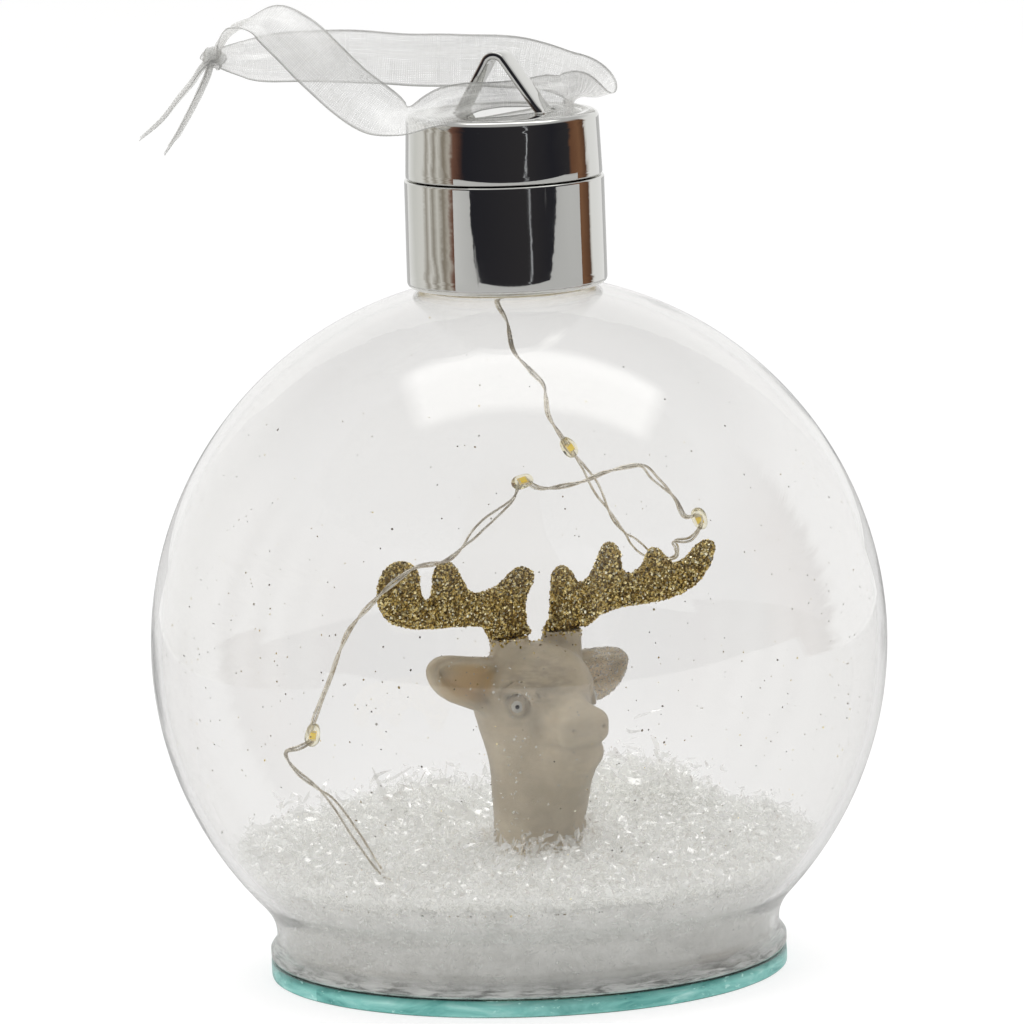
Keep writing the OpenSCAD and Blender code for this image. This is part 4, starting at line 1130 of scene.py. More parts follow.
# ------------------------------------------------------------------ the figure
def poly_sdf(P2, pts):
    d = dist_polyline(P2, pts, True)
    x, y = P2[:, 0], P2[:, 1]
    inside = np.zeros(len(P2), bool)
    n = len(pts)
    for i in range(n):
        x1, y1 = pts[i]
        x2, y2 = pts[(i + 1) % n]
        if y1 == y2:
            continue
        c = ((y1 > y) != (y2 > y)) & (x < (x2 - x1) * (y - y1) / (y2 - y1) + x1)
        inside ^= c
    return np.where(inside, -d, d)


def torus(P, c, n, R, r):
    q = P - c
    h = q @ n
    rad = np.linalg.norm(q - h[:, None] * n, axis=1)
    return np.hypot(rad - R, h) - r


# outlines of the two ears in (out to the side, up): the head is cast a little tilted
EAR_L = catmull([(5.5, 51.5), (8.4, 52.4), (11.7, 52.9), (15.6, 53.4), (17.8, 53.1), (19.1, 51.8), (19.1, 49.9), (18.0, 47.9),
                 (15.9, 46.1), (13.1, 44.8), (10.3, 43.7), (5.8, 43.3)], 4, True)
EAR_R = catmull([(6.0, 51.0), (9.6, 51.2), (12.3, 51.1), (16.1, 50.9), (18.9, 50.3), (20.5, 48.9), (20.3, 46.9), (18.3, 44.6),
                 (15.1, 43.0), (12.3, 42.6), (6.8, 43.2)], 4, True)
EYE = np.array([7.3, 5.6, 44.9])
EYE_N = np.array([0.80, 0.585, 0.13])
EYE_N = EYE_N / np.linalg.norm(EYE_N)


def head_base(Q):
    """The head without ears, eyes or mouth: columns are out to the side, forward, up."""
    d = cone(Q, (0, 0.2, 0), (0, 0.4, 30), 8.05, 7.45)
    d = np.minimum(d, cone(Q, (0, 0.4, 30), (0, 0.2, 38), 7.45, 7.6))
    skull = ellipsoid(Q, (0, -1.0, 44.8), (9.5, 10.2, 9.0))
    brow = ellipsoid(Q, (0, 1.6, 47.0), (8.5, 8.5, 6.7))
    jaw = ellipsoid(Q, (0, 0.6, 40.2), (8.4, 9.2, 7.0))
    d = smin(d, smin(smin(skull, brow, 1.6), jaw, 2.2), 3.0)
    low = cone(Q, (0, 1.4, 38.6), (0, 0.6, 30.5), 8.2, 7.4)
    throat = cone(Q, (0, 9.2, 36.8), (0, 2.2, 30.2), 5.0, 6.8)
    d = smin(smin(d, low, 1.6), throat, 2.0)

    def block(c, h, r):
        q = np.abs(Q - c) - (np.array(h) - r)
        return np.linalg.norm(np.maximum(q, 0), axis=1) + np.minimum(q.max(1), 0) - r
    muz = block((0, 10.5, 41.5), (4.9, 4.6, 2.85), 2.2)
    jaw_f = block((0, 8.5, 37.3), (4.4, 4.7, 1.75), 1.55)
    bridge = cone(Q, (0, 5.0, 45.0), (0, 10.8, 43.1), 4.3, 3.3)
    m = smin(smin(muz, jaw_f, 0.8), bridge, 1.5)
    return smin(d, m, 1.7)


def head_field(P):
    s, f, z = P[:, 0] - STEM[0], -(P[:, 1] - STEM[1]), P[:, 2]
    Q = np.stack([s, f, z], 1)
    A = np.abs(Q[:, 0])
    QA = np.stack([A, f, z], 1)
    d = head_base(Q)
    # nostrils, hardly more than dents
    nos = ellipsoid(QA, (3.0, 15.1, 41.6), (0.36, 0.5, 0.28))
    d = smax(d, -nos, 0.45)
    # eye: a hollow round it, a ring of lid and a brow ridge
    hol = ellipsoid(QA, EYE + EYE_N * 1.4, (2.3, 2.3, 2.5))
    d = smax(d, -(hol + 1.05), 1.6)
    lid = torus(QA, EYE + EYE_N * 0.30, EYE_N, 1.22, 0.36)
    d = smin(d, lid, 0.35)
    crease = torus(QA, EYE + EYE_N * 0.15, EYE_N, 2.1, 0.20)
    d = smax(d, -crease, 0.3)
    upn = np.array([0, 0, 1.0]) - EYE_N * EYE_N[2]
    upn /= np.linalg.norm(upn)
    ridge = torus(QA, EYE + EYE_N * 0.25 - upn * 0.1, EYE_N, 2.9, 0.18)
    ridge = np.maximum(ridge, 0.8 - (QA - EYE) @ upn)
    d = smin(d, ridge, 0.7)
    # a crease over the eye
    brow = torus(QA, EYE - upn * 0.2, EYE_N, 4.1, 0.12)
    brow = np.maximum(brow, 1.6 - (QA - EYE) @ upn)
    d = smax(d, -brow, 0.6)
    # ears: cupped leaves, swept back
    fe = QA[:, 1] + 0.2 + 0.16 * (A - 5)
    P2 = np.stack([A, z], 1)
    ear = np.full(len(P), 9.0)
    for pts, sign in ((EAR_L, -1), (EAR_R, 1)):
        near = (s * sign > 3) & (z > 39) & (z < 56) & (np.abs(fe) < 6)
        if near.any():
            d2 = poly_sdf(P2[near], pts)
            half = 1.7 - 0.05 * np.clip(A[near] - 6, 0, 14)
            # dished in front, following the outline, deepest towards the head
            dish = np.clip((-d2 - 0.75) / 2.3, 0, 1)
            dish = dish * dish * (3 - 2 * dish) * np.clip(2.25 - 0.08 * (A[near] - 9), 1.2, 2.3)
            r = 0.8
            a = d2 + r
            b = np.maximum(fe[near] - (half - dish), -fe[near] - half) + r
            ear[near] = np.hypot(np.maximum(a, 0), np.maximum(b, 0)) + np.minimum(np.maximum(a, b), 0) - r
    d = smin(d, ear, 1.1)
    # stubs that carry the antlers
    for sx in (-4.6, 6.0):
        st = cone(Q, (sx * 0.93, -0.2, 48), (sx, -0.2, 56.6), 3.5, 3.1)
        st = np.maximum(st, z - 55.3)
        d = smin(d, st, 1.0)
    # cast surface: barely uneven
    d = d + 0.05 * value_noise(P / 3.2, 3) + 0.03 * value_noise(P / 1.1, 4)
    return np.maximum(np.maximum(d, 3.5 - z), z - 55.3)


def sample_mesh(ob, n, rng, where=None):
    """n points on a mesh with their normals, in mm, by area."""
    me = ob.data
    co = np.empty(len(me.vertices) * 3)
    me.vertices.foreach_get("co", co)
    co = co.reshape(-1, 3) / MM
    me.calc_loop_triangles()
    tri = np.empty(len(me.loop_triangles) * 3, dtype=np.int32)
    me.loop_triangles.foreach_get("vertices", tri)
    t = co[tri.reshape(-1, 3)]
    c = np.cross(t[:, 1] - t[:, 0], t[:, 2] - t[:, 0])
    area = np.linalg.norm(c, axis=1)
    w = area.copy()
    if where is not None:
        w *= where(t.mean(1))
    k = rng.choice(len(t), n, p=w / w.sum())
    u, v = rng.uniform(0, 1, n), rng.uniform(0, 1, n)
    sw = u + v > 1
    u[sw], v[sw] = 1 - u[sw], 1 - v[sw]
    p = t[k, 0] + u[:, None] * (t[k, 1] - t[k, 0]) + v[:, None] * (t[k, 2] - t[k, 0])
    return p, c[k] / np.maximum(area[k], 1e-12)[:, None]


def chips(name, pos, nrm, size, mats, slot, rng, tilt=0.6, lift=0.06, sides=6, body="globe", mat_index=None):
    """Small flat many-sided flakes lying on a surface, each tipped its own way."""
    n = len(pos)
    m = nrm + rng.normal(0, tilt, (n, 3))
    m /= np.linalg.norm(m, axis=1, keepdims=True)
    a = np.cross(m, rng.normal(size=(n, 3)))
    a /= np.linalg.norm(a, axis=1, keepdims=True)
    b = np.cross(m, a)
    s = size(n)
    ctr = pos + nrm * (lift + 0.25 * s * rng.uniform(0, 1, n))[:, None]
    ang = np.arange(sides) * 2 * np.pi / sides
    vv = ctr[:, None] + s[:, None, None] * (a[:, None] * np.cos(ang)[None, :, None] * 1.0 + b[:, None] * np.sin(ang)[None, :, None]
                                            * rng.uniform(0.7, 1.0, n)[:, None, None])
    th = m * (0.02 + 0.06 * s)[:, None]
    low = vv - th[:, None]
    allv = np.concatenate([vv, low], 1).reshape(-1, 3)
    faces = []
    base = (np.arange(n) * sides * 2)
    top = base[:, None] + np.arange(sides)[None]
    bot = base[:, None] + sides + np.arange(sides)[::-1][None]
    q = np.stack([np.arange(sides), np.arange(sides) + sides, (np.arange(sides) + 1) % sides + sides,
                  (np.arange(sides) + 1) % sides], 1)
    quads = (base[:, None, None] + q[None]).reshape(-1, 4)
    faces = [tuple(r) for r in top] + [tuple(r) for r in bot] + [tuple(r) for r in quads]
    mi = None
    if mat_index is not None:
        k = mat_index(n)
        mi = np.concatenate([k, k, np.repeat(k, sides)])
    ob = add_object(name, allv, faces, mats, smooth=False, mat_index=mi)
    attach(ob, body)
    return ob


def make_head():
    rng = np.random.default_rng(11)
    v, q = surface_net(head_field, (-22, -20.5, 2.6), (23.5, 9.5, 56.2), 0.36)
    v[:, 2] = np.where(v[:, 2] > 55.2, 55.3, v[:, 2])
    v[:, 2] = np.where(v[:, 2] < 3.6, 3.5, v[:, 2])
    head = add_object("reindeer", v, q, MATS["cast_resin"])
    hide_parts("reindeer_head")
    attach(head, "globe")
    # eyes: domed white with a painted pupil
    for side in (-1, 1):
        n = np.array([EYE_N[0] * side, -EYE_N[1], EYE_N[2]])
        c = np.array([STEM[0] + side * EYE[0], STEM[1] - EYE[1], EYE[2]]) - n * 0.55
        up = np.array([0, 0, 1.0]) - n * n[2]
        up /= np.linalg.norm(up)
        rt = np.cross(up, n)
        look = n * 0.985 + rt * 0.0 + np.array([0, -0.17, 0.0])
        look /= np.linalg.norm(look)
        a1 = np.cross(look, up)
        a1 /= np.linalg.norm(a1)
        a2 = np.cross(look, a1)
        verts, faces, mi = [], [], []
        rows = [0.0, 0.07, 0.14, 0.20, 0.24, 0.30, 0.36, 0.5, 0.7, 0.9, 1.1, 1.3, 1.5]
        seg = 40
        for i, t in enumerate(rows):
            rad = 1.5 + (0.05 if t < 0.26 else 0.0) - (0.05 if 0.26 <= t < 0.4 else 0.0)
            for k in range(seg):
                w = 2 * math.pi * k / seg
                p = c + rad * (look * math.cos(t) + (a1 * math.cos(w) + a2 * math.sin(w)) * math.sin(max(t, 0.002)))
                verts.append(p)
        for i in range(len(rows) - 1):
            for k in range(seg):
                k2 = (k + 1) % seg
                faces.append((i * seg + k, (i + 1) * seg + k, (i + 1) * seg + k2, i * seg + k2))
                mi.append(1 if rows[i + 1] <= 0.24 else 0)
        verts.append(c + look * 1.55)
        verts.append(c - look * 0.2)
        last = (len(rows) - 1) * seg
        for k in range(seg):
            k2 = (k + 1) % seg
            faces.append((len(verts) - 2, k, k2))
            mi.append(1)
            faces.append((len(verts) - 1, last + k2, last + k))
            mi.append(0)
        eye = add_object("eye_%s" % ("left" if side < 0 else "right"), verts, faces, [MATS["eye_paint"], MATS["eye_pupil"]], True, mi)
        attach(eye, "globe")
    # frost on the far ear, crumbs and glints on the near cheek, brow and neck
    p, n = sample_mesh(head, 1300, rng, lambda c: ((c[:, 0] - STEM[0] > 11.5) & (c[:, 2] > 41)).astype(float)
                       + 0.008 * (c[:, 2] > 20))
    chips("frost", p, n, lambda k: rng.uniform(0.07, 0.19, k), MATS["clear_glitter"], "gold_glitter", rng, 0.3)
    # glitter that strays from the antlers down onto their stubs
    p, n = sample_mesh(head, 420, rng, lambda c: np.where(c[:, 2] > 52.4, np.exp((c[:, 2] - 55.3) / 0.75), 0.0)
                       * (np.hypot(np.minimum(np.abs(c[:, 0] - STEM[0] + 4.6), np.abs(c[:, 0] - STEM[0] - 6.0)), c[:, 1] - STEM[1]) < 5.0))
    chips("stub_glitter", p, n, lambda k: rng.uniform(0.15, 0.30, k), MATS["gold_glitter"], "gold_glitter", rng, 0.5, 0.03)

    def near(c):
        w = np.zeros(len(c))
        for q_, s_ in (((-7.5, -9.5, 47.2), 1.6), ((-7.0, -8.0, 38.4), 2.0), ((-6.6, -6.0, 31.0), 2.2), ((-5.5, -5.5, 26.0), 3.0),
                       ((-3.0, -9.0, 40.0), 1.2), ((-8.0, -3.0, 50.0), 1.8), ((-15.0, -2.5, 50.5), 1.4)):
            w += np.exp(-((c - np.array(q_)) ** 2).sum(1) / (2 * s_ * s_))
        return w + 0.01
    p, n = sample_mesh(head, 120, rng, near)
    chips("crumbs", p, n, lambda k: rng.lognormal(-1.75, 0.35, k), MATS["flakes"], "flakes", rng, 0.7)
    return head


def antler_outline(points):
    return catmull(points, 4, False)


ANTLER_L = [(-4, 55.3), (-3.2, 57.5), (-3.2, 61), (-4.6, 63.6), (-5, 65.4), (-3.6, 66.7), (-1.4, 66.5), (0.4, 65.4),
            (2.6, 64.2), (6.4, 63.7), (9, 64.8), (10.7, 67.6), (12.4, 69.6), (14.4, 69.4), (15.6, 67.4), (15.9, 65),
            (17.3, 63.8), (18.7, 65), (19, 68), (20.4, 70.2), (23, 70.9), (25.7, 69.6), (27.3, 66.4), (26.9, 63.2),
            (24.4, 60.4), (19, 58.9), (12.8, 58.4), (7, 57.8), (4.8, 56.6), (4.2, 55.3)]
ANTLER_R = [(-3.6, 55.3), (-2.4, 57.9), (-2, 62), (-1.7, 64.8), (0.3, 66.1), (1.9, 65), (3, 63.2), (5.2, 63.4), (6.8, 66),
            (8.4, 68.6), (10, 68.9), (11.2, 67.4), (11.6, 64.6), (13.4, 63.3), (15.4, 64.4), (16.8, 66.8), (18.6, 67.1),
            (20, 65.6), (21.8, 64.3), (24, 64.9), (26.2, 66.8), (28.3, 67.5), (29.5, 65.8), (27.9, 62.2), (24.6, 59.4),
            (21, 58.2), (16.5, 57.7), (10.8, 57.5), (6.8, 56.7), (4.2, 55.3)]


def make_antler(name, node, pts, origin, turn, mirror, seed):
    rng = np.random.default_rng(seed)
    out = [tuple(p) for p in antler_outline(pts)]
    half, r = 1.35, 1.0
    c, s = math.cos(math.radians(turn)), math.sin(math.radians(turn))
    sg = -1.0 if mirror else 1.0

    def field(P):
        d2 = poly_sdf(P[:, [0, 2]], out) + np.where(P[:, 2] > 57, 0.42, 0.2)
        a, b = d2 + r, np.abs(P[:, 1]) - half + r
        e = np.hypot(np.maximum(a, 0), np.maximum(b, 0)) + np.minimum(np.maximum(a, b), 0) - r
        e = e + 0.10 * value_noise(P / 0.9, seed) + 0.05 * value_noise(P / 0.45, seed + 1)
        return np.maximum(e, 55.32 - P[:, 2])

    xs = [p[0] for p in out]
    v, q = surface_net(field, (min(xs) - 1, -2.4, 54.4), (max(xs) + 1, 2.4, 72), 0.34)
    w = np.empty_like(v)
    lx = v[:, 0] * sg
    w[:, 0] = origin[0] + lx * c - v[:, 1] * s
    w[:, 1] = origin[1] + lx * s + v[:, 1] * c
    w[:, 2] = v[:, 2]
    if mirror:
        q = q[:, ::-1]
    ob = add_object(name, w, q, MATS["gold_base"])
    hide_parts(node)
    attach(ob, "globe")
    p, n = sample_mesh(ob, 9500, rng, lambda t: (t[:, 2] > 55.6).astype(float) + 1e-6)
    chips(name + "_glitter", p, n, lambda k: rng.uniform(0.15, 0.30, k), MATS["gold_glitter"], "gold_glitter", rng, 0.55, 0.04)


make_head()
make_antler("antler_l", "antler_left", ANTLER_L, (STEM[0] - 4.4, STEM[1]), 5.0, True, 31)
make_antler("antler_r", "antler_right", ANTLER_R, (STEM[0] + 6.0, STEM[1]), -5.0, False, 37)


# ------------------------------------------------------------------ the cap
def make_cap():
    r, seam = 16.25, 130.3
    p = [(13.2, 112.75), (13.2, 112.7), (14.2, 112.7)]
    p += arc(r - 1.0, 113.7, 1.0, -90, 0, 10)
    for i in range(1, 13):
        z = 113.7 + (seam - 0.35 - 113.7) * i / 12
        p.append((r - 0.05 * (1 - math.cos(math.pi * (z - 113.7) / 16.3)) * 0.5, z))
    p += arc(r - 0.35, seam - 0.3, 0.3, 0, 90, 5) + [(15.6, seam), (14.95, seam)]
    p += [(14.95, 133.2), (14.85, 133.5), (14.6, 133.6), (14.3, 133.6), (14.1, 133.45), (14.1, 122.0), (2.6, 122.0), (2.6, 120.9),
          (13.2, 120.9)]
    # outside runs from the bottom up; the ring is closed down the inside
    ob = lathe("cap_lower_shell", p, MATS["chrome_plate"], 256)
    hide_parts("cap_collar")
    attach(ob, "globe")
    # the bead of glue that shows under the shell
    rng = np.random.default_rng(3)
    ph = rng.uniform(0, 6.28, 6)

    def uneven(r_, z, t):
        if r_ < 13.3:
            return 0.0
        return 0.12 * math.sin(3 * t + ph[0]) + 0.10 * math.sin(7 * t + ph[1]) + 0.07 * math.sin(13 * t + ph[2])
    bead = [(13.02, 112.72), (13.02, 112.1)] + [(13.05 + 1.75 * math.sin(math.radians(a)) ** 0.8, 112.72 - 0.62 * math.cos(math.radians(a)))
                                               for a in range(8, 91, 10)] + [(14.85, 112.72)]
    ob = lathe("glue_fillet", bead, MATS["glue_bead"], 192, wobble=uneven)
    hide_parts("cap_glue_bead")
    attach(ob, "globe")

    # upper shell, turned from a single profile
    r = 15.95
    q = [(15.0, 130.5), (15.3, 130.46)] + arc(r - 0.3, 130.8, 0.3, -90, 0, 5)
    for i in range(1, 9):
        q.append((r - 0.34 * (i / 9) ** 1.1, 130.8 + (139.8 - 130.8) * i / 9))
    q += arc(r - 1.34, 139.8, 1.0, 0, 90, 12)
    q += [(14.2, 140.8), (13.6, 140.79), (13.3, 140.66), (12.9, 140.62), (12.6, 140.7), (12.2, 140.76), (9, 140.77), (4, 140.78), (0, 140.78)]
    q += [(0, 139.4), (7, 139.4), (14.2, 139.4), (14.8, 139.1), (15.0, 138.6), (15.0, 134)]
    ob = lathe("cap_upper_shell", q, MATS["chrome_plate"], 256)
    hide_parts("battery_cover")
    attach(ob, "cover")
    # the pins that turn the contact carrier
    for k, a in enumerate((0.0, math.pi)):
        pr = [(0, 139.6), (1.6, 139.5), (1.3, 139.2), (1.2, 138.8), (1.2, 131.5), (1.05, 131.2), (0.9, 131.1), (0, 131.1)]
        pin = lathe("drive_pin_%d" % (k + 1), pr[::-1], MATS["white_plastic"], 40, closed=False)
        pin.location = (9.2 * math.cos(a) * MM, 9.2 * math.sin(a) * MM, 0)
        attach(pin, "cover")


def sweep(name, centre, across, up, section, mats, closed_ends=True, smooth=True):
    """Sweeps section [(a, b)] (mm) along centre with given across and up directions."""
    n, m = len(centre), len(section)
    verts = []
    for i in range(n):
        for a, b in section:
            verts.append(np.array(centre[i]) + a * np.array(across[i]) + b * np.array(up[i]))
    faces = []
    for i in range(n - 1):
        for k in range(m):
            k2 = (k + 1) % m
            faces.append((i * m + k, i * m + k2, (i + 1) * m + k2, (i + 1) * m + k))
    if closed_ends:
        faces.append(tuple(range(m))[::-1])
        faces.append(tuple((n - 1) * m + k for k in range(m)))
    return add_object(name, verts, faces, mats, smooth)


def fix_normals(ob):
    import bmesh
    bm = bmesh.new()
    bm.from_mesh(ob.data)
    bmesh.ops.recalc_face_normals(bm, faces=bm.faces)
    bm.to_mesh(ob.data)
    bm.free()
    ob.data.update()


def make_loop():
    top = 140.8
    lc, ra, half, wid = np.array([-0.4, 148.2]), 1.9, 0.6, 4.4
    fl, fr = np.array([-6.9, top]), np.array([7.3, top])

    def un(v):
        return v / np.linalg.norm(v)
    sl = un(np.array([-(lc - fl)[1], (lc - fl)[0]]))
    sr = un(np.array([(lc - fr)[1], -(lc - fr)[0]]))
    al, ar = math.atan2(sl[1], sl[0]), math.atan2(sr[1], sr[0])
    mid = [fl + (0, -1.9), fl + (0, -1.0), fl + (0.0, -0.3), fl + (0.1, 0.25)]
    a0 = lc + ra * np.array([math.cos(al), math.sin(al)])
    for t in (0.15, 0.35, 0.6, 0.8, 0.92):
        mid.append(fl + (a0 - fl) * t)
    for i in range(25):
        a = al + (ar - al) * i / 24
        mid.append(lc + ra * np.array([math.cos(a), math.sin(a)]))
    a1 = lc + ra * np.array([math.cos(ar), math.sin(ar)])
    for t in (0.08, 0.2, 0.4, 0.65, 0.85):
        mid.append(a1 + (fr - a1) * t)
    mid += [fr + (-0.1, 0.25), fr + (0.0, -0.3), fr + (0, -1.0), fr + (0, -1.9)]
    mid = np.array(mid)
    tg = np.gradient(mid, axis=0)
    tg /= np.linalg.norm(tg, axis=1)[:, None]
    turn = math.radians(-57)
    ex = np.array([math.cos(turn), math.sin(turn), 0])
    ey = np.array([-math.sin(turn), math.cos(turn), 0])
    ez = np.array([0, 0, 1.0])
    centre = [p[0] * ex + p[1] * ez for p in mid]
    out = [(-t[1]) * ex + t[0] * ez for t in tg]       # left of the run, so outwards
    sec = []
    w, h, rr = wid / 2, half, 0.28
    for cx, cy, a0_ in ((w - rr, h - rr, 0), (-w + rr, h - rr, 90), (-w + rr, -h + rr, 180), (w - rr, -h + rr, 270)):
        for k in range(5):
            a = math.radians(a0_ + 90 * k / 4)
            sec.append((cx + rr * math.cos(a), cy + rr * math.sin(a)))
    ob = sweep("hanger", centre, [ey] * len(mid), out, sec, MATS["chrome_plate"])
    fix_normals(ob)
    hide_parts("hanging_loop")
    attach(ob, "cover")
    # chrome collars where the strip goes through the shell
    for k, f in enumerate((fl, fr)):
        pts = []
        for i in range(48):
            a = 2 * math.pi * i / 48
            ca, sa = math.cos(a), math.sin(a)
            pts.append((abs(ca) ** 0.5 * math.copysign(1, ca), abs(sa) ** 0.5 * math.copysign(1, sa)))
        rows = [(0.0, 0.62, -0.15), (0.32, 0.62, 0.0), (0.30, 0.62, 0.13), (0.12, 0.62, 0.22), (-0.02, 0.62, 0.16)]
        verts, faces = [], []
        for g, _, dz in rows:
            for px, py in pts:
                verts.append(f[0] * ex + px * (0.66 + g) * ex + py * (2.26 + g) * ey + (top + dz) * ez)
        m = len(pts)
        for i in range(len(rows)):
            i2 = (i + 1) % len(rows)
            for j in range(m):
                j2 = (j + 1) % m
                faces.append((i * m + j, i * m + j2, i2 * m + j2, i2 * m + j))
        c = add_object("hanger_seat_%d" % (k + 1), verts, faces, MATS["chrome_plate"])
        fix_normals(c)
        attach(c, "cover")


make_cap()
make_loop()


# ------------------------------------------------------------------ ribbon
KNOT = np.array([-46.3, 0.0, 151.0])
FRONT = [((-46, 0, 151), (0, 1, 0.3), 0.3), ((-44.6, 0, 153.6), (0.5, 1, 0.2), 0.45), ((-42, -0.5, 156.2), (0.5, 1, 0.2), 0.7),
         ((-37.6, -2, 157.0), (0.85, 0.8, 0.6), 0.85), ((-33.5, -4, 154.6), (0.8, 0.3, 0.6), 0.9), ((-29, -6.5, 150.2), (0.8, 0, 0.65), 0.9),
         ((-24.5, -8.8, 146), (0.72, 0.15, 0.66), 0.9), ((-20, -10.6, 142.9), (0.6, 0.45, 0.6), 0.9),
         ((-15.6, -11.6, 141.3), (0.42, 0.82, 0.32), 0.88), ((-11.6, -10.4, 141.8), (0.2, 0.88, 0.4), 0.78),
         ((-8.2, -7, 143.1), (0, 0.65, 0.75), 0.62), ((-5, -3.8, 143.6), (0, 0.4, 0.9), 0.5),
         ((-2.4, -1.6, 143.6), (0, 0.25, 1), 0.44), ((0, 0, 143.6), (0, 0.2, 1), 0.42)]
BACK = [((0, 0, 143.6), (0, 0.2, 1), 0.42), ((4, 1.9, 143.4), (0, 0.35, 1), 0.46), ((7.4, 3.4, 143.3), (0.2, 0.6, 0.75), 0.6),
        ((10.8, 5.0, 142.5), (0.65, 0.7, 0.26), 0.82), ((13.9, 8.2, 141.9), (0.92, 0.38, 0.08), 0.88),
        ((14.4, 12.2, 142.5), (0.88, -0.3, 0.36), 0.9), ((11.8, 15.4, 144.3), (0.62, -0.5, 0.6), 0.9),
        ((6.8, 16.6, 146.3), (0.3, -0.35, 0.88), 0.88), ((0, 15.6, 147.3), (0, -0.1, 1), 0.88),
        ((-7, 13.6, 147.9), (0, 0, 1), 0.86), ((-15, 11.4, 148.5), (0, 0, 1), 0.86),
        ((-24, 9, 149.6), (0, 0.1, 1), 0.86), ((-33, 6, 150.2), (0, 0.2, 1), 0.84), ((-39.4, 3.6, 150.2), (0, 0.3, 1), 0.72),
        ((-43.4, 2, 150.5), (0, 0.3, 1), 0.5), ((-46, 0, 151), (0, 0.3, 1), 0.3)]
TAIL1 = [((-46.4, 0, 151), (0, 1, 0), 0.3), ((-48.6, 0, 149.4), (0, 1, 0), 0.36), ((-50.6, 0, 146.6), (0, 1, 0), 0.42),
         ((-54.6, 0, 141.6), (0, 1, 0), 0.42), ((-58.8, 0, 138), (0, 1, 0), 0.34)]
TAIL2 = [((-46.4, 0, 151), (0, 1, 0), 0.3), ((-47.4, 0, 148), (0, 1, 0), 0.36), ((-49.6, 0, 143.6), (0, 1, 0), 0.42),
         ((-52.4, 0, 139.4), (0, 1, 0), 0.42), ((-54.8, 0, 135.4), (0, 1, 0), 0.34)]
WIDTH = 10.0


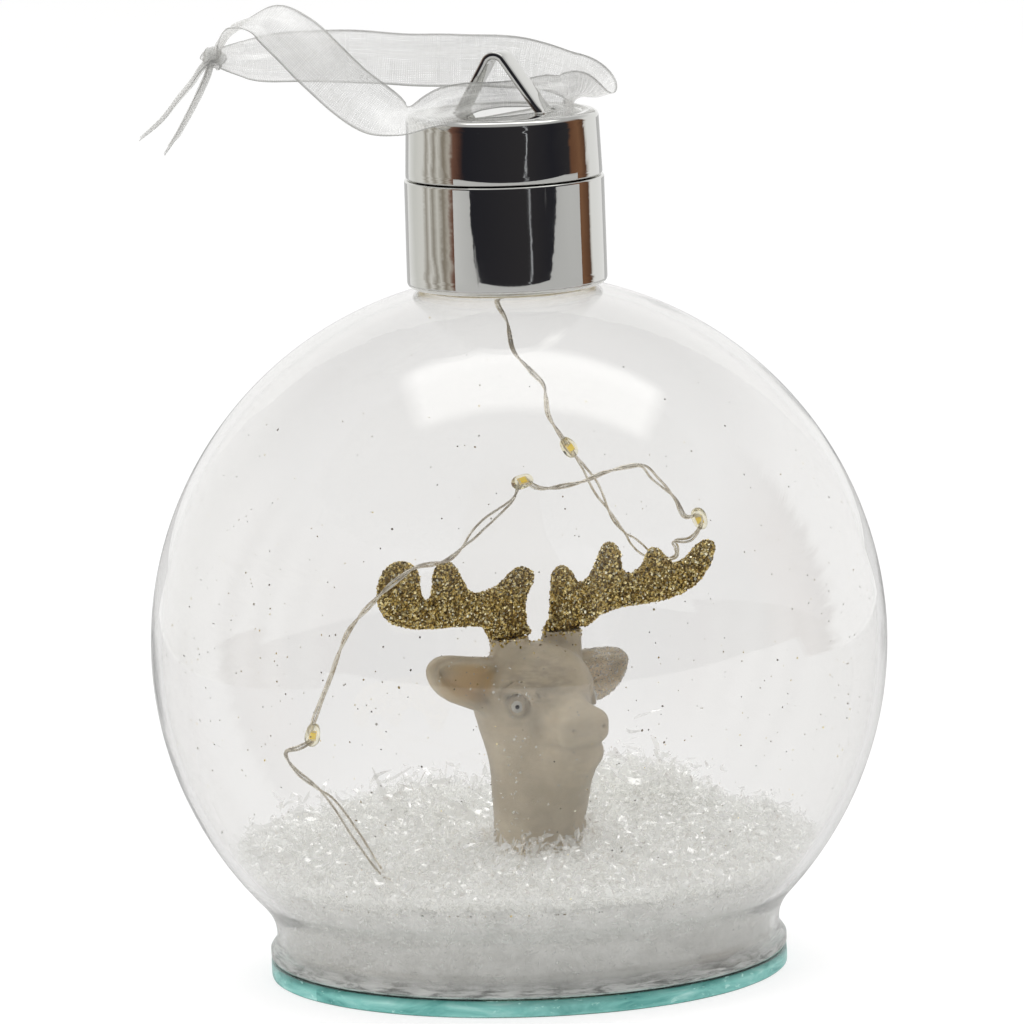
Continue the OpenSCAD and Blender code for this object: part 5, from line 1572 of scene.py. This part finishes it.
def make_ribbon():
    turn = math.radians(-35)
    ex = np.array([math.cos(turn), math.sin(turn), 0])
    ey = np.array([-math.sin(turn), math.cos(turn), 0])
    ez = np.array([0, 0, 1.0])
    rot = np.stack([ex, ey, ez])

    def strand(st, sub):
        rows = np.array([[*p, *(np.array(w) / np.linalg.norm(w)), s] for p, w, s in st], float)
        return catmull(rows, sub)

    runs = [strand(TAIL1[::-1], 10)[:-1], strand(FRONT, 12)[:-1], strand(BACK, 12)[:-1], strand(TAIL2, 10)]
    # the width direction never flips from one run to the next
    rows = runs[0]
    for r in runs[1:]:
        r = r.copy()
        if rows[-1][3:6] @ r[0][3:6] < 0:
            r[:, 3:6] *= -1
        rows = np.vstack([rows, r])
    # close together inside the knot
    c, wd, share = rows[:, :3], rows[:, 3:6], np.clip(rows[:, 6], 0.26, 0.92)
    keep = [0]
    for i in range(1, len(c)):
        if np.linalg.norm(c[i] - c[keep[-1]]) > 0.22:
            keep.append(i)
    c, wd, share = c[keep], wd[keep], share[keep]
    k = np.ones(5) / 5
    for arr in (wd, share.reshape(-1, 1)):
        for j in range(arr.shape[1]):
            arr[2:-2, j] = np.convolve(arr[:, j], k, "valid")
    tg = np.gradient(c, axis=0)
    tg /= np.linalg.norm(tg, axis=1)[:, None]
    wd = wd - (wd * tg).sum(1)[:, None] * tg
    wd /= np.linalg.norm(wd, axis=1)[:, None]
    nm = np.cross(tg, wd)
    run = np.concatenate([[0], np.cumsum(np.linalg.norm(np.diff(c, axis=0), axis=1))])
    nu = 41
    u = np.linspace(-1, 1, nu)
    top, uv = [], []
    rng = np.random.default_rng(5)
    ph = rng.uniform(0, 6.28, 8)
    for i in range(len(c)):
        tip = min(min(run[i], run[-1] - run[i]) / 11.0, 1.0)
        tip = 0.16 + 0.84 * tip ** 0.8
        w = share[i] * WIDTH * (0.5 + 0.5 * tip if tip < 1 else 1.0) * (0.45 + 0.55 * tip)
        need = math.sqrt(max(WIDTH ** 2 * 0.98 - w * w, 0)) * tip
        folds = 7.0
        amp = need / (2 * folds)
        amp = min(amp, 0.78)
        if share[i] > 0.62:
            # open lengths: a few soft lengthwise folds
            soft = (0.92 - share[i]) / 0.3
            h = 0.55 * soft * np.sin(2.2 * math.pi * (u + 0.15 * math.sin(run[i] / 9 + ph[0]))) + 0.35 * np.sin(1.3 * math.pi * u + run[i] / 13 + ph[1])
            h += 0.10 * np.sin(5 * math.pi * u + run[i] / 4 + ph[2]) * soft
            h *= np.minimum(1, 1.6 - share[i]) 
        else:
            b = (0.62 - share[i]) / 0.36
            b = min(max(b, 0), 1)
            tri = np.arcsin(np.sin(folds * math.pi * (u + 0.05 * np.sin(3 * u + run[i] / 6)) / 2 + ph[3])) / (math.pi / 2)
            soft = 0.55 * np.sin(2.2 * math.pi * (u + 0.15 * math.sin(run[i] / 9 + ph[0])))
            h = amp * tri * b + soft * (1 - b) * 0.9
        # long slow ripples in the run, and edges that curl a touch
        lift = 0.14 * math.sin(run[i] / 3.1 + ph[4]) + 0.10 * math.sin(run[i] / 1.7 + ph[5])
        uu = u * w / 2 * (1 + 0.012 * math.sin(run[i] / 2.3 + ph[6]))
        for j in range(nu):
            top.append(c[i] + wd[i] * uu[j] + nm[i] * (h[j] + lift))
            uv.append(((u[j] + 1) / 2, run[i]))
    top = np.array(top).reshape(len(c), nu, 3)
    # cut the tails on a slant
    total = run[-1]
    for end, sgn in ((0, 1), (len(c) - 1, -1)):
        rng_i = range(0, 9) if end == 0 else range(len(c) - 9, len(c))
        for i in rng_i:
            dist = run[i] if end == 0 else total - run[i]
            pull = (1 - min(dist / 4.0, 1)) * 2.6
            top[i] += np.outer((u + 1) / 2 if end == 0 else (1 - u) / 2, tg[i] * sgn * pull)
    gx = np.gradient(top, axis=0)
    gy = np.gradient(top, axis=1)
    sn = np.cross(gx, gy)
    sn /= np.maximum(np.linalg.norm(sn, axis=2, keepdims=True), 1e-9)
    t = 0.05
    A, B = (top + sn * t).reshape(-1, 3) @ rot, (top - sn * t).reshape(-1, 3) @ rot
    n = len(c)
    N = n * nu
    i0 = np.arange(n - 1)[:, None] * nu + np.arange(nu - 1)[None]
    qa = np.stack([i0, i0 + nu, i0 + nu + 1, i0 + 1], -1).reshape(-1, 4)
    qb = qa[:, ::-1] + N
    side = []
    for i in range(n - 1):
        a, b = i * nu, (i + 1) * nu
        side += [(a, a + N, b + N, b), (a + nu - 1, b + nu - 1, b + nu - 1 + N, a + nu - 1 + N)]
    for j in range(nu - 1):
        side += [(j, j + 1, j + 1 + N, j + N)]
        e = (n - 1) * nu + j
        side += [(e, e + N, e + 1 + N, e + 1)]
    ob = add_object("ribbon_strip", np.vstack([A, B]), np.vstack([qa, qb, np.array(side)]), MATS["organza"], True, None, uv + uv)
    fix_normals(ob)
    # the knot: two wraps of gathered ribbon
    kn = KNOT
    verts, faces, kuv = [], [], []
    for wrap, (axis, rad, wdt, off) in enumerate((((1, 0.15, -0.5), 1.55, 3.4, (0, 0, 0)), ((0.3, 0.2, 1.0), 1.35, 2.6, (-0.2, -0.15, 0.1)))):
        ax = np.array(axis, float)
        ax /= np.linalg.norm(ax)
        p = np.cross(ax, (0, 1, 0.2))
        p /= np.linalg.norm(p)
        q = np.cross(ax, p)
        na, nb = 56, 21
        st = len(verts)
        for i in range(na):
            a = 2 * math.pi * i / na
            for j in range(nb):
                v = (j / (nb - 1) * 2 - 1)
                rr = rad - 0.5 * v * v + 0.16 * math.sin(9 * v + 2 * math.sin(a)) + 0.10 * math.sin(3 * a + 5 * v)
                pos = kn + off + ax * (v * wdt / 2 * (1 + 0.12 * math.sin(2 * a))) + rr * (p * math.cos(a) * 1.12 + q * math.sin(a) * 0.9)
                verts.append(pos @ rot)
                kuv.append((j / (nb - 1), a * 2))
        for i in range(na):
            i2 = (i + 1) % na
            for j in range(nb - 1):
                faces.append((st + i * nb + j, st + i * nb + j + 1, st + i2 * nb + j + 1, st + i2 * nb + j))
    knot = add_object("ribbon_knot", verts, faces, MATS["organza"], True, None, kuv)
    sol = knot.modifiers.new("thick", "SOLIDIFY")
    sol.thickness = 0.0001
    sol.offset = 0
    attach(knot, "cover")
    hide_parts("ribbon")
    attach(ob, "cover")
    return ob, total


ribbon, RIBBON_RUN = make_ribbon()


# ------------------------------------------------------------------ light wire
ROUTE = [(0, 0, 122.4), (0, 0, 120), (-0.4, 0.2, 117), (-1, 0.6, 113), (-1.5, 1, 109.6), (-0.2, 0.2, 106.3), (-0.6, -1.8, 102),
         (0.9, -4, 98.9), (2.6, -5.4, 96.4), (2.9, -5.6, 94), (3.8, -5.2, 90.8), (7.4, -5.2, 85.6), (11.6, -4.5, 80.7),
         (18, -2.8, 72), (25.4, 0.4, 66.2), (29, 0.6, 64), (31.6, -0.6, 64.2), (31, -1.8, 66), (29.6, -3.2, 67.4),
         (31, -5.6, 67.8), (31.8, -7.4, 70), (31.4, -7.6, 72), (29.2, -6.9, 72), (27.6, -6.2, 75.2), (24, -6, 78.7),
         (21, -6.2, 81.2), (14, -6, 80.8), (9, -6.2, 79.8), (2.2, -5.2, 79.4), (-1.8, -4.9, 80.9), (-4, -4.8, 78),
         (-9.8, -4.6, 74.6), (-17.8, -6.8, 70.4), (-25.4, -8.8, 70.2), (-29.4, -8.8, 68.6), (-32.2, -7, 65.8),
         (-34.4, -1.6, 60), (-35.4, 2.8, 51.8), (-36.8, 6.2, 44.2), (-36.8, 6.6, 41.6), (-38.6, 7.6, 40.4), (-41, 8, 39.8),
         (-40, 6, 36.7), (-37, 1.4, 32.6), (-35, -2.6, 27), (-33.4, -7.2, 21.4), (-31.4, -10.8, 18.4), (-26, -15, 17.4),
         (-18, -17, 18.6), (-12, -15.6, 20.4), (-9.4, -12.6, 22), (-7.6, -10.6, 24.2)]
DROPS = [(7.4, -5.2, 85.6), (31.7, -7.5, 71.4), (-1.8, -4.9, 80.9), (-36.7, 6.4, 42.4), (-22, -16.2, 17.9)]


def make_wire_and_drops():
    path = catmull(ROUTE, 10)
    seg = np.linalg.norm(np.diff(path, axis=0), axis=1)
    run = np.concatenate([[0], np.cumsum(seg)])
    total = run[-1]
    n = int(total / 0.55)
    s = np.linspace(0, total, n)
    c = np.stack([np.interp(s, run, path[:, k]) for k in range(3)], 1)
    tg = np.gradient(c, axis=0)
    tg /= np.linalg.norm(tg, axis=1)[:, None]
    # a frame that doesn't spin
    nm = np.empty_like(c)
    v = np.cross(tg[0], (0, 1, 0))
    nm[0] = v / np.linalg.norm(v)
    for i in range(1, n):
        v = nm[i - 1] - (nm[i - 1] @ tg[i]) * tg[i]
        nm[i] = v / np.linalg.norm(v)
    bn = np.cross(tg, nm)
    # twist angle: tight near the drops, loose between them
    at = [s[np.argmin(np.linalg.norm(c - np.array(d), axis=1))] for d in DROPS]
    gap = np.full(n, 0.24)
    phase = np.zeros(n)
    ang = 0.0
    # slack places where the two strands part: (from, to, half gap)
    lo = s[np.argmin(np.linalg.norm(c - np.array((-38.5, 3.6, 34.6)), axis=1))]
    hi = s[np.argmin(np.linalg.norm(c - np.array((-33.2, -7.4, 21.2)), axis=1))]
    m1 = s[np.argmin(np.linalg.norm(c - np.array((25.4, 0.4, 66.2)), axis=1))]
    m2 = s[np.argmin(np.linalg.norm(c - np.array((-9.8, -4.6, 74.6)), axis=1))]
    m3 = s[np.argmin(np.linalg.norm(c - np.array((24, -6, 78.7)), axis=1))]
    m4 = s[np.argmin(np.linalg.norm(c - np.array((-35.4, 2.8, 51.8)), axis=1))]
    m5 = s[np.argmin(np.linalg.norm(c - np.array((11.6, -4.5, 80.7)), axis=1))]
    parts = [(lo, hi, 1.0), (m1 - 5, m1 + 3.5, 0.5), (m2 - 5, m2 + 5, 0.42), (m3 - 4, m3 + 4, 0.5), (m4 - 6, m4 + 6, 0.40), (m5 - 1, m5 + 7, 0.42)]
    for i in range(n):
        slack = 0.0
        for a, b, g in parts:
            if a < s[i] < b:
                w = math.sin(math.pi * (s[i] - a) / (b - a))
                gap[i] = max(gap[i], 0.24 + g * w)
                slack = max(slack, min(1.0, w * 1.6))
        near = min(abs(s[i] - a) for a in at)
        if near < 2.2:
            gap[i] = min(gap[i], 0.24 + 0.10 * (1 - near / 2.2))
        pitch = 13.0
        ang += (1 - 0.97 * slack) * 2 * math.pi / pitch * (s[1] - s[0])
        phase[i] = ang
    r, sides = 0.21, 8
    verts, faces = [], []
    for k, off in enumerate((0.0, math.pi)):
        base = len(verts)
        line = c + gap[:, None] * (np.cos(phase + off)[:, None] * nm + np.sin(phase + off)[:, None] * bn)
        # crimps left by hand bending
        wob = np.stack([value_noise(np.stack([s / 2.6 + 31 * k, s * 0, s * 0 + q], 1), 50 + q) for q in range(3)], 1)
        line = line + 0.05 * wob
        t2 = np.gradient(line, axis=0)
        t2 /= np.linalg.norm(t2, axis=1)[:, None]
        for i in range(n):
            a = nm[i] - (nm[i] @ t2[i]) * t2[i]
            a /= np.linalg.norm(a)
            b = np.cross(t2[i], a)
            for q in range(sides):
                w = 2 * math.pi * q / sides
                verts.append(line[i] + r * (a * math.cos(w) + b * math.sin(w)))
        for i in range(n - 1):
            for q in range(sides):
                q2 = (q + 1) % sides
                faces.append((base + i * sides + q, base + i * sides + q2, base + (i + 1) * sides + q2, base + (i + 1) * sides + q))
        faces.append(tuple(base + q for q in range(sides))[::-1])
        faces.append(tuple(base + (n - 1) * sides + q for q in range(sides)))
    wire = add_object("light_lead", verts, faces, MATS["wire_metal"])
    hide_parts("light_wire")
    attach(wire, "globe")

    # drops: clear beads of resin round the wire, each with a small yellow chip in it
    rng = np.random.default_rng(19)
    for d, p in enumerate(DROPS):
        i = int(np.argmin(np.linalg.norm(c - np.array(p), axis=1)))
        x = tg[max(0, i - 2):i + 3].mean(0)
        x /= np.linalg.norm(x)
        face = np.array(TOWARD) * 0.75 + np.array((0, 0, 0.6)) + rng.normal(0, 0.25, 3)
        z = face - (face @ x) * x
        z /= np.linalg.norm(z)
        y = np.cross(z, x)
        ctr = np.array(p, float)
        ns, nt = 28, 36
        verts, faces = [], []
        L = 2.0
        for a in range(ns + 1):
            u = -1 + 2 * a / ns
            rad = max(1 - abs(u) ** 2.6, 0.0) ** 0.5
            for b in range(nt):
                w = 2 * math.pi * b / nt
                ry = 1.22 * rad * (1 + 0.05 * math.sin(2 * w + 3 * u))
                rz = (1.30 if math.sin(w) > 0 else 0.95) * rad
                verts.append(ctr + x * (u * L) + y * (math.cos(w) * max(ry, 0.02)) + z * (math.sin(w) * max(rz, 0.02)))
        for a in range(ns):
            for b in range(nt):
                b2 = (b + 1) % nt
                faces.append((a * nt + b, a * nt + b2, (a + 1) * nt + b2, (a + 1) * nt + b))
        faces.append(tuple(range(nt))[::-1])
        faces.append(tuple(ns * nt + b for b in range(nt)))
        bead = add_object("lamp_%d" % (d + 1), verts, faces, MATS["clear_epoxy"])
        fix_normals(bead)
        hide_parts("light_drop_%d" % (d + 1))
        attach(bead, "globe")
        # the chip: a bevelled plate on a white carrier
        import bmesh
        bm = bmesh.new()
        for (sx, sy, sz, oz, mi) in ((1.5, 0.8, 0.28, 0.18, 1), (1.05, 0.62, 0.22, 0.42, 0)):
            g = bmesh.ops.create_cube(bm, size=1.0)
            for v_ in g["verts"]:
                v_.co = Vector((v_.co.x * sx, v_.co.y * sy, v_.co.z * sz + oz))
            fs = {f for v_ in g["verts"] for f in v_.link_faces}
            for f in fs:
                f.material_index = mi
        bmesh.ops.bevel(bm, geom=list(bm.edges), offset=0.06, segments=2, affect="EDGES")
        me = bpy.data.meshes.new("lamp_chip_%d" % (d + 1))
        for v_ in bm.verts:
            q = ctr + x * v_.co.x + y * v_.co.y + z * v_.co.z
            v_.co = Vector(q * MM)
        bmesh.ops.recalc_face_normals(bm, faces=bm.faces)
        bm.to_mesh(me)
        bm.free()
        me.materials.append(MATS["chip_yellow"])
        me.materials.append(MATS["white_plastic"])
        chip = bpy.data.objects.new("lamp_chip_%d" % (d + 1), me)
        scene.collection.objects.link(chip)
        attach(chip, "globe")
    return total


WIRE_RUN = make_wire_and_drops()


# ------------------------------------------------------------------ specks on the glass
def make_specks():
    rng = np.random.default_rng(23)
    n = 900
    t = rng.uniform(0, 2 * np.pi, n)
    z = 54 + 58.3 * np.clip(rng.normal(-0.15, 0.42, n), -0.62, 0.94)
    rr = np.sqrt(58.28 ** 2 - (z - 54) ** 2)
    pos = np.stack([rr * np.cos(t), rr * np.sin(t), z], 1)
    nrm = -(pos - np.array([0, 0, 54.0]))
    nrm /= np.linalg.norm(nrm, axis=1, keepdims=True)
    chips("specks", pos, nrm, lambda k: np.minimum(rng.lognormal(-2.15, 0.38, k), 0.3), [MATS["dark_speck"], MATS["gold_glitter"]], "gold_glitter",
          rng, 0.15, 0.02, 5, mat_index=lambda k: (rng.uniform(0, 1, k) > 0.72).astype(np.int32))


make_specks()


# ------------------------------------------------------------------ inner works
for node_name, mat_name in (("base_glue_ring", "glue_film"), ("figure_glue_pad", "glue_bead"), ("neck_gasket", "dark_rubber"),
                            ("wire_grommet", "dark_rubber"), ("circuit_board", "board"), ("series_resistor", "component"),
                            ("battery_holder", "white_plastic"), ("cell_contacts", "contact_brass"), ("button_cell_1", "cell_steel"),
                            ("button_cell_2", "cell_steel"), ("button_cell_3", "cell_steel"), ("contact_carrier", "white_plastic"),
                            ("wiper_contact", "contact_brass")):
    dress(node_name, mat_name)
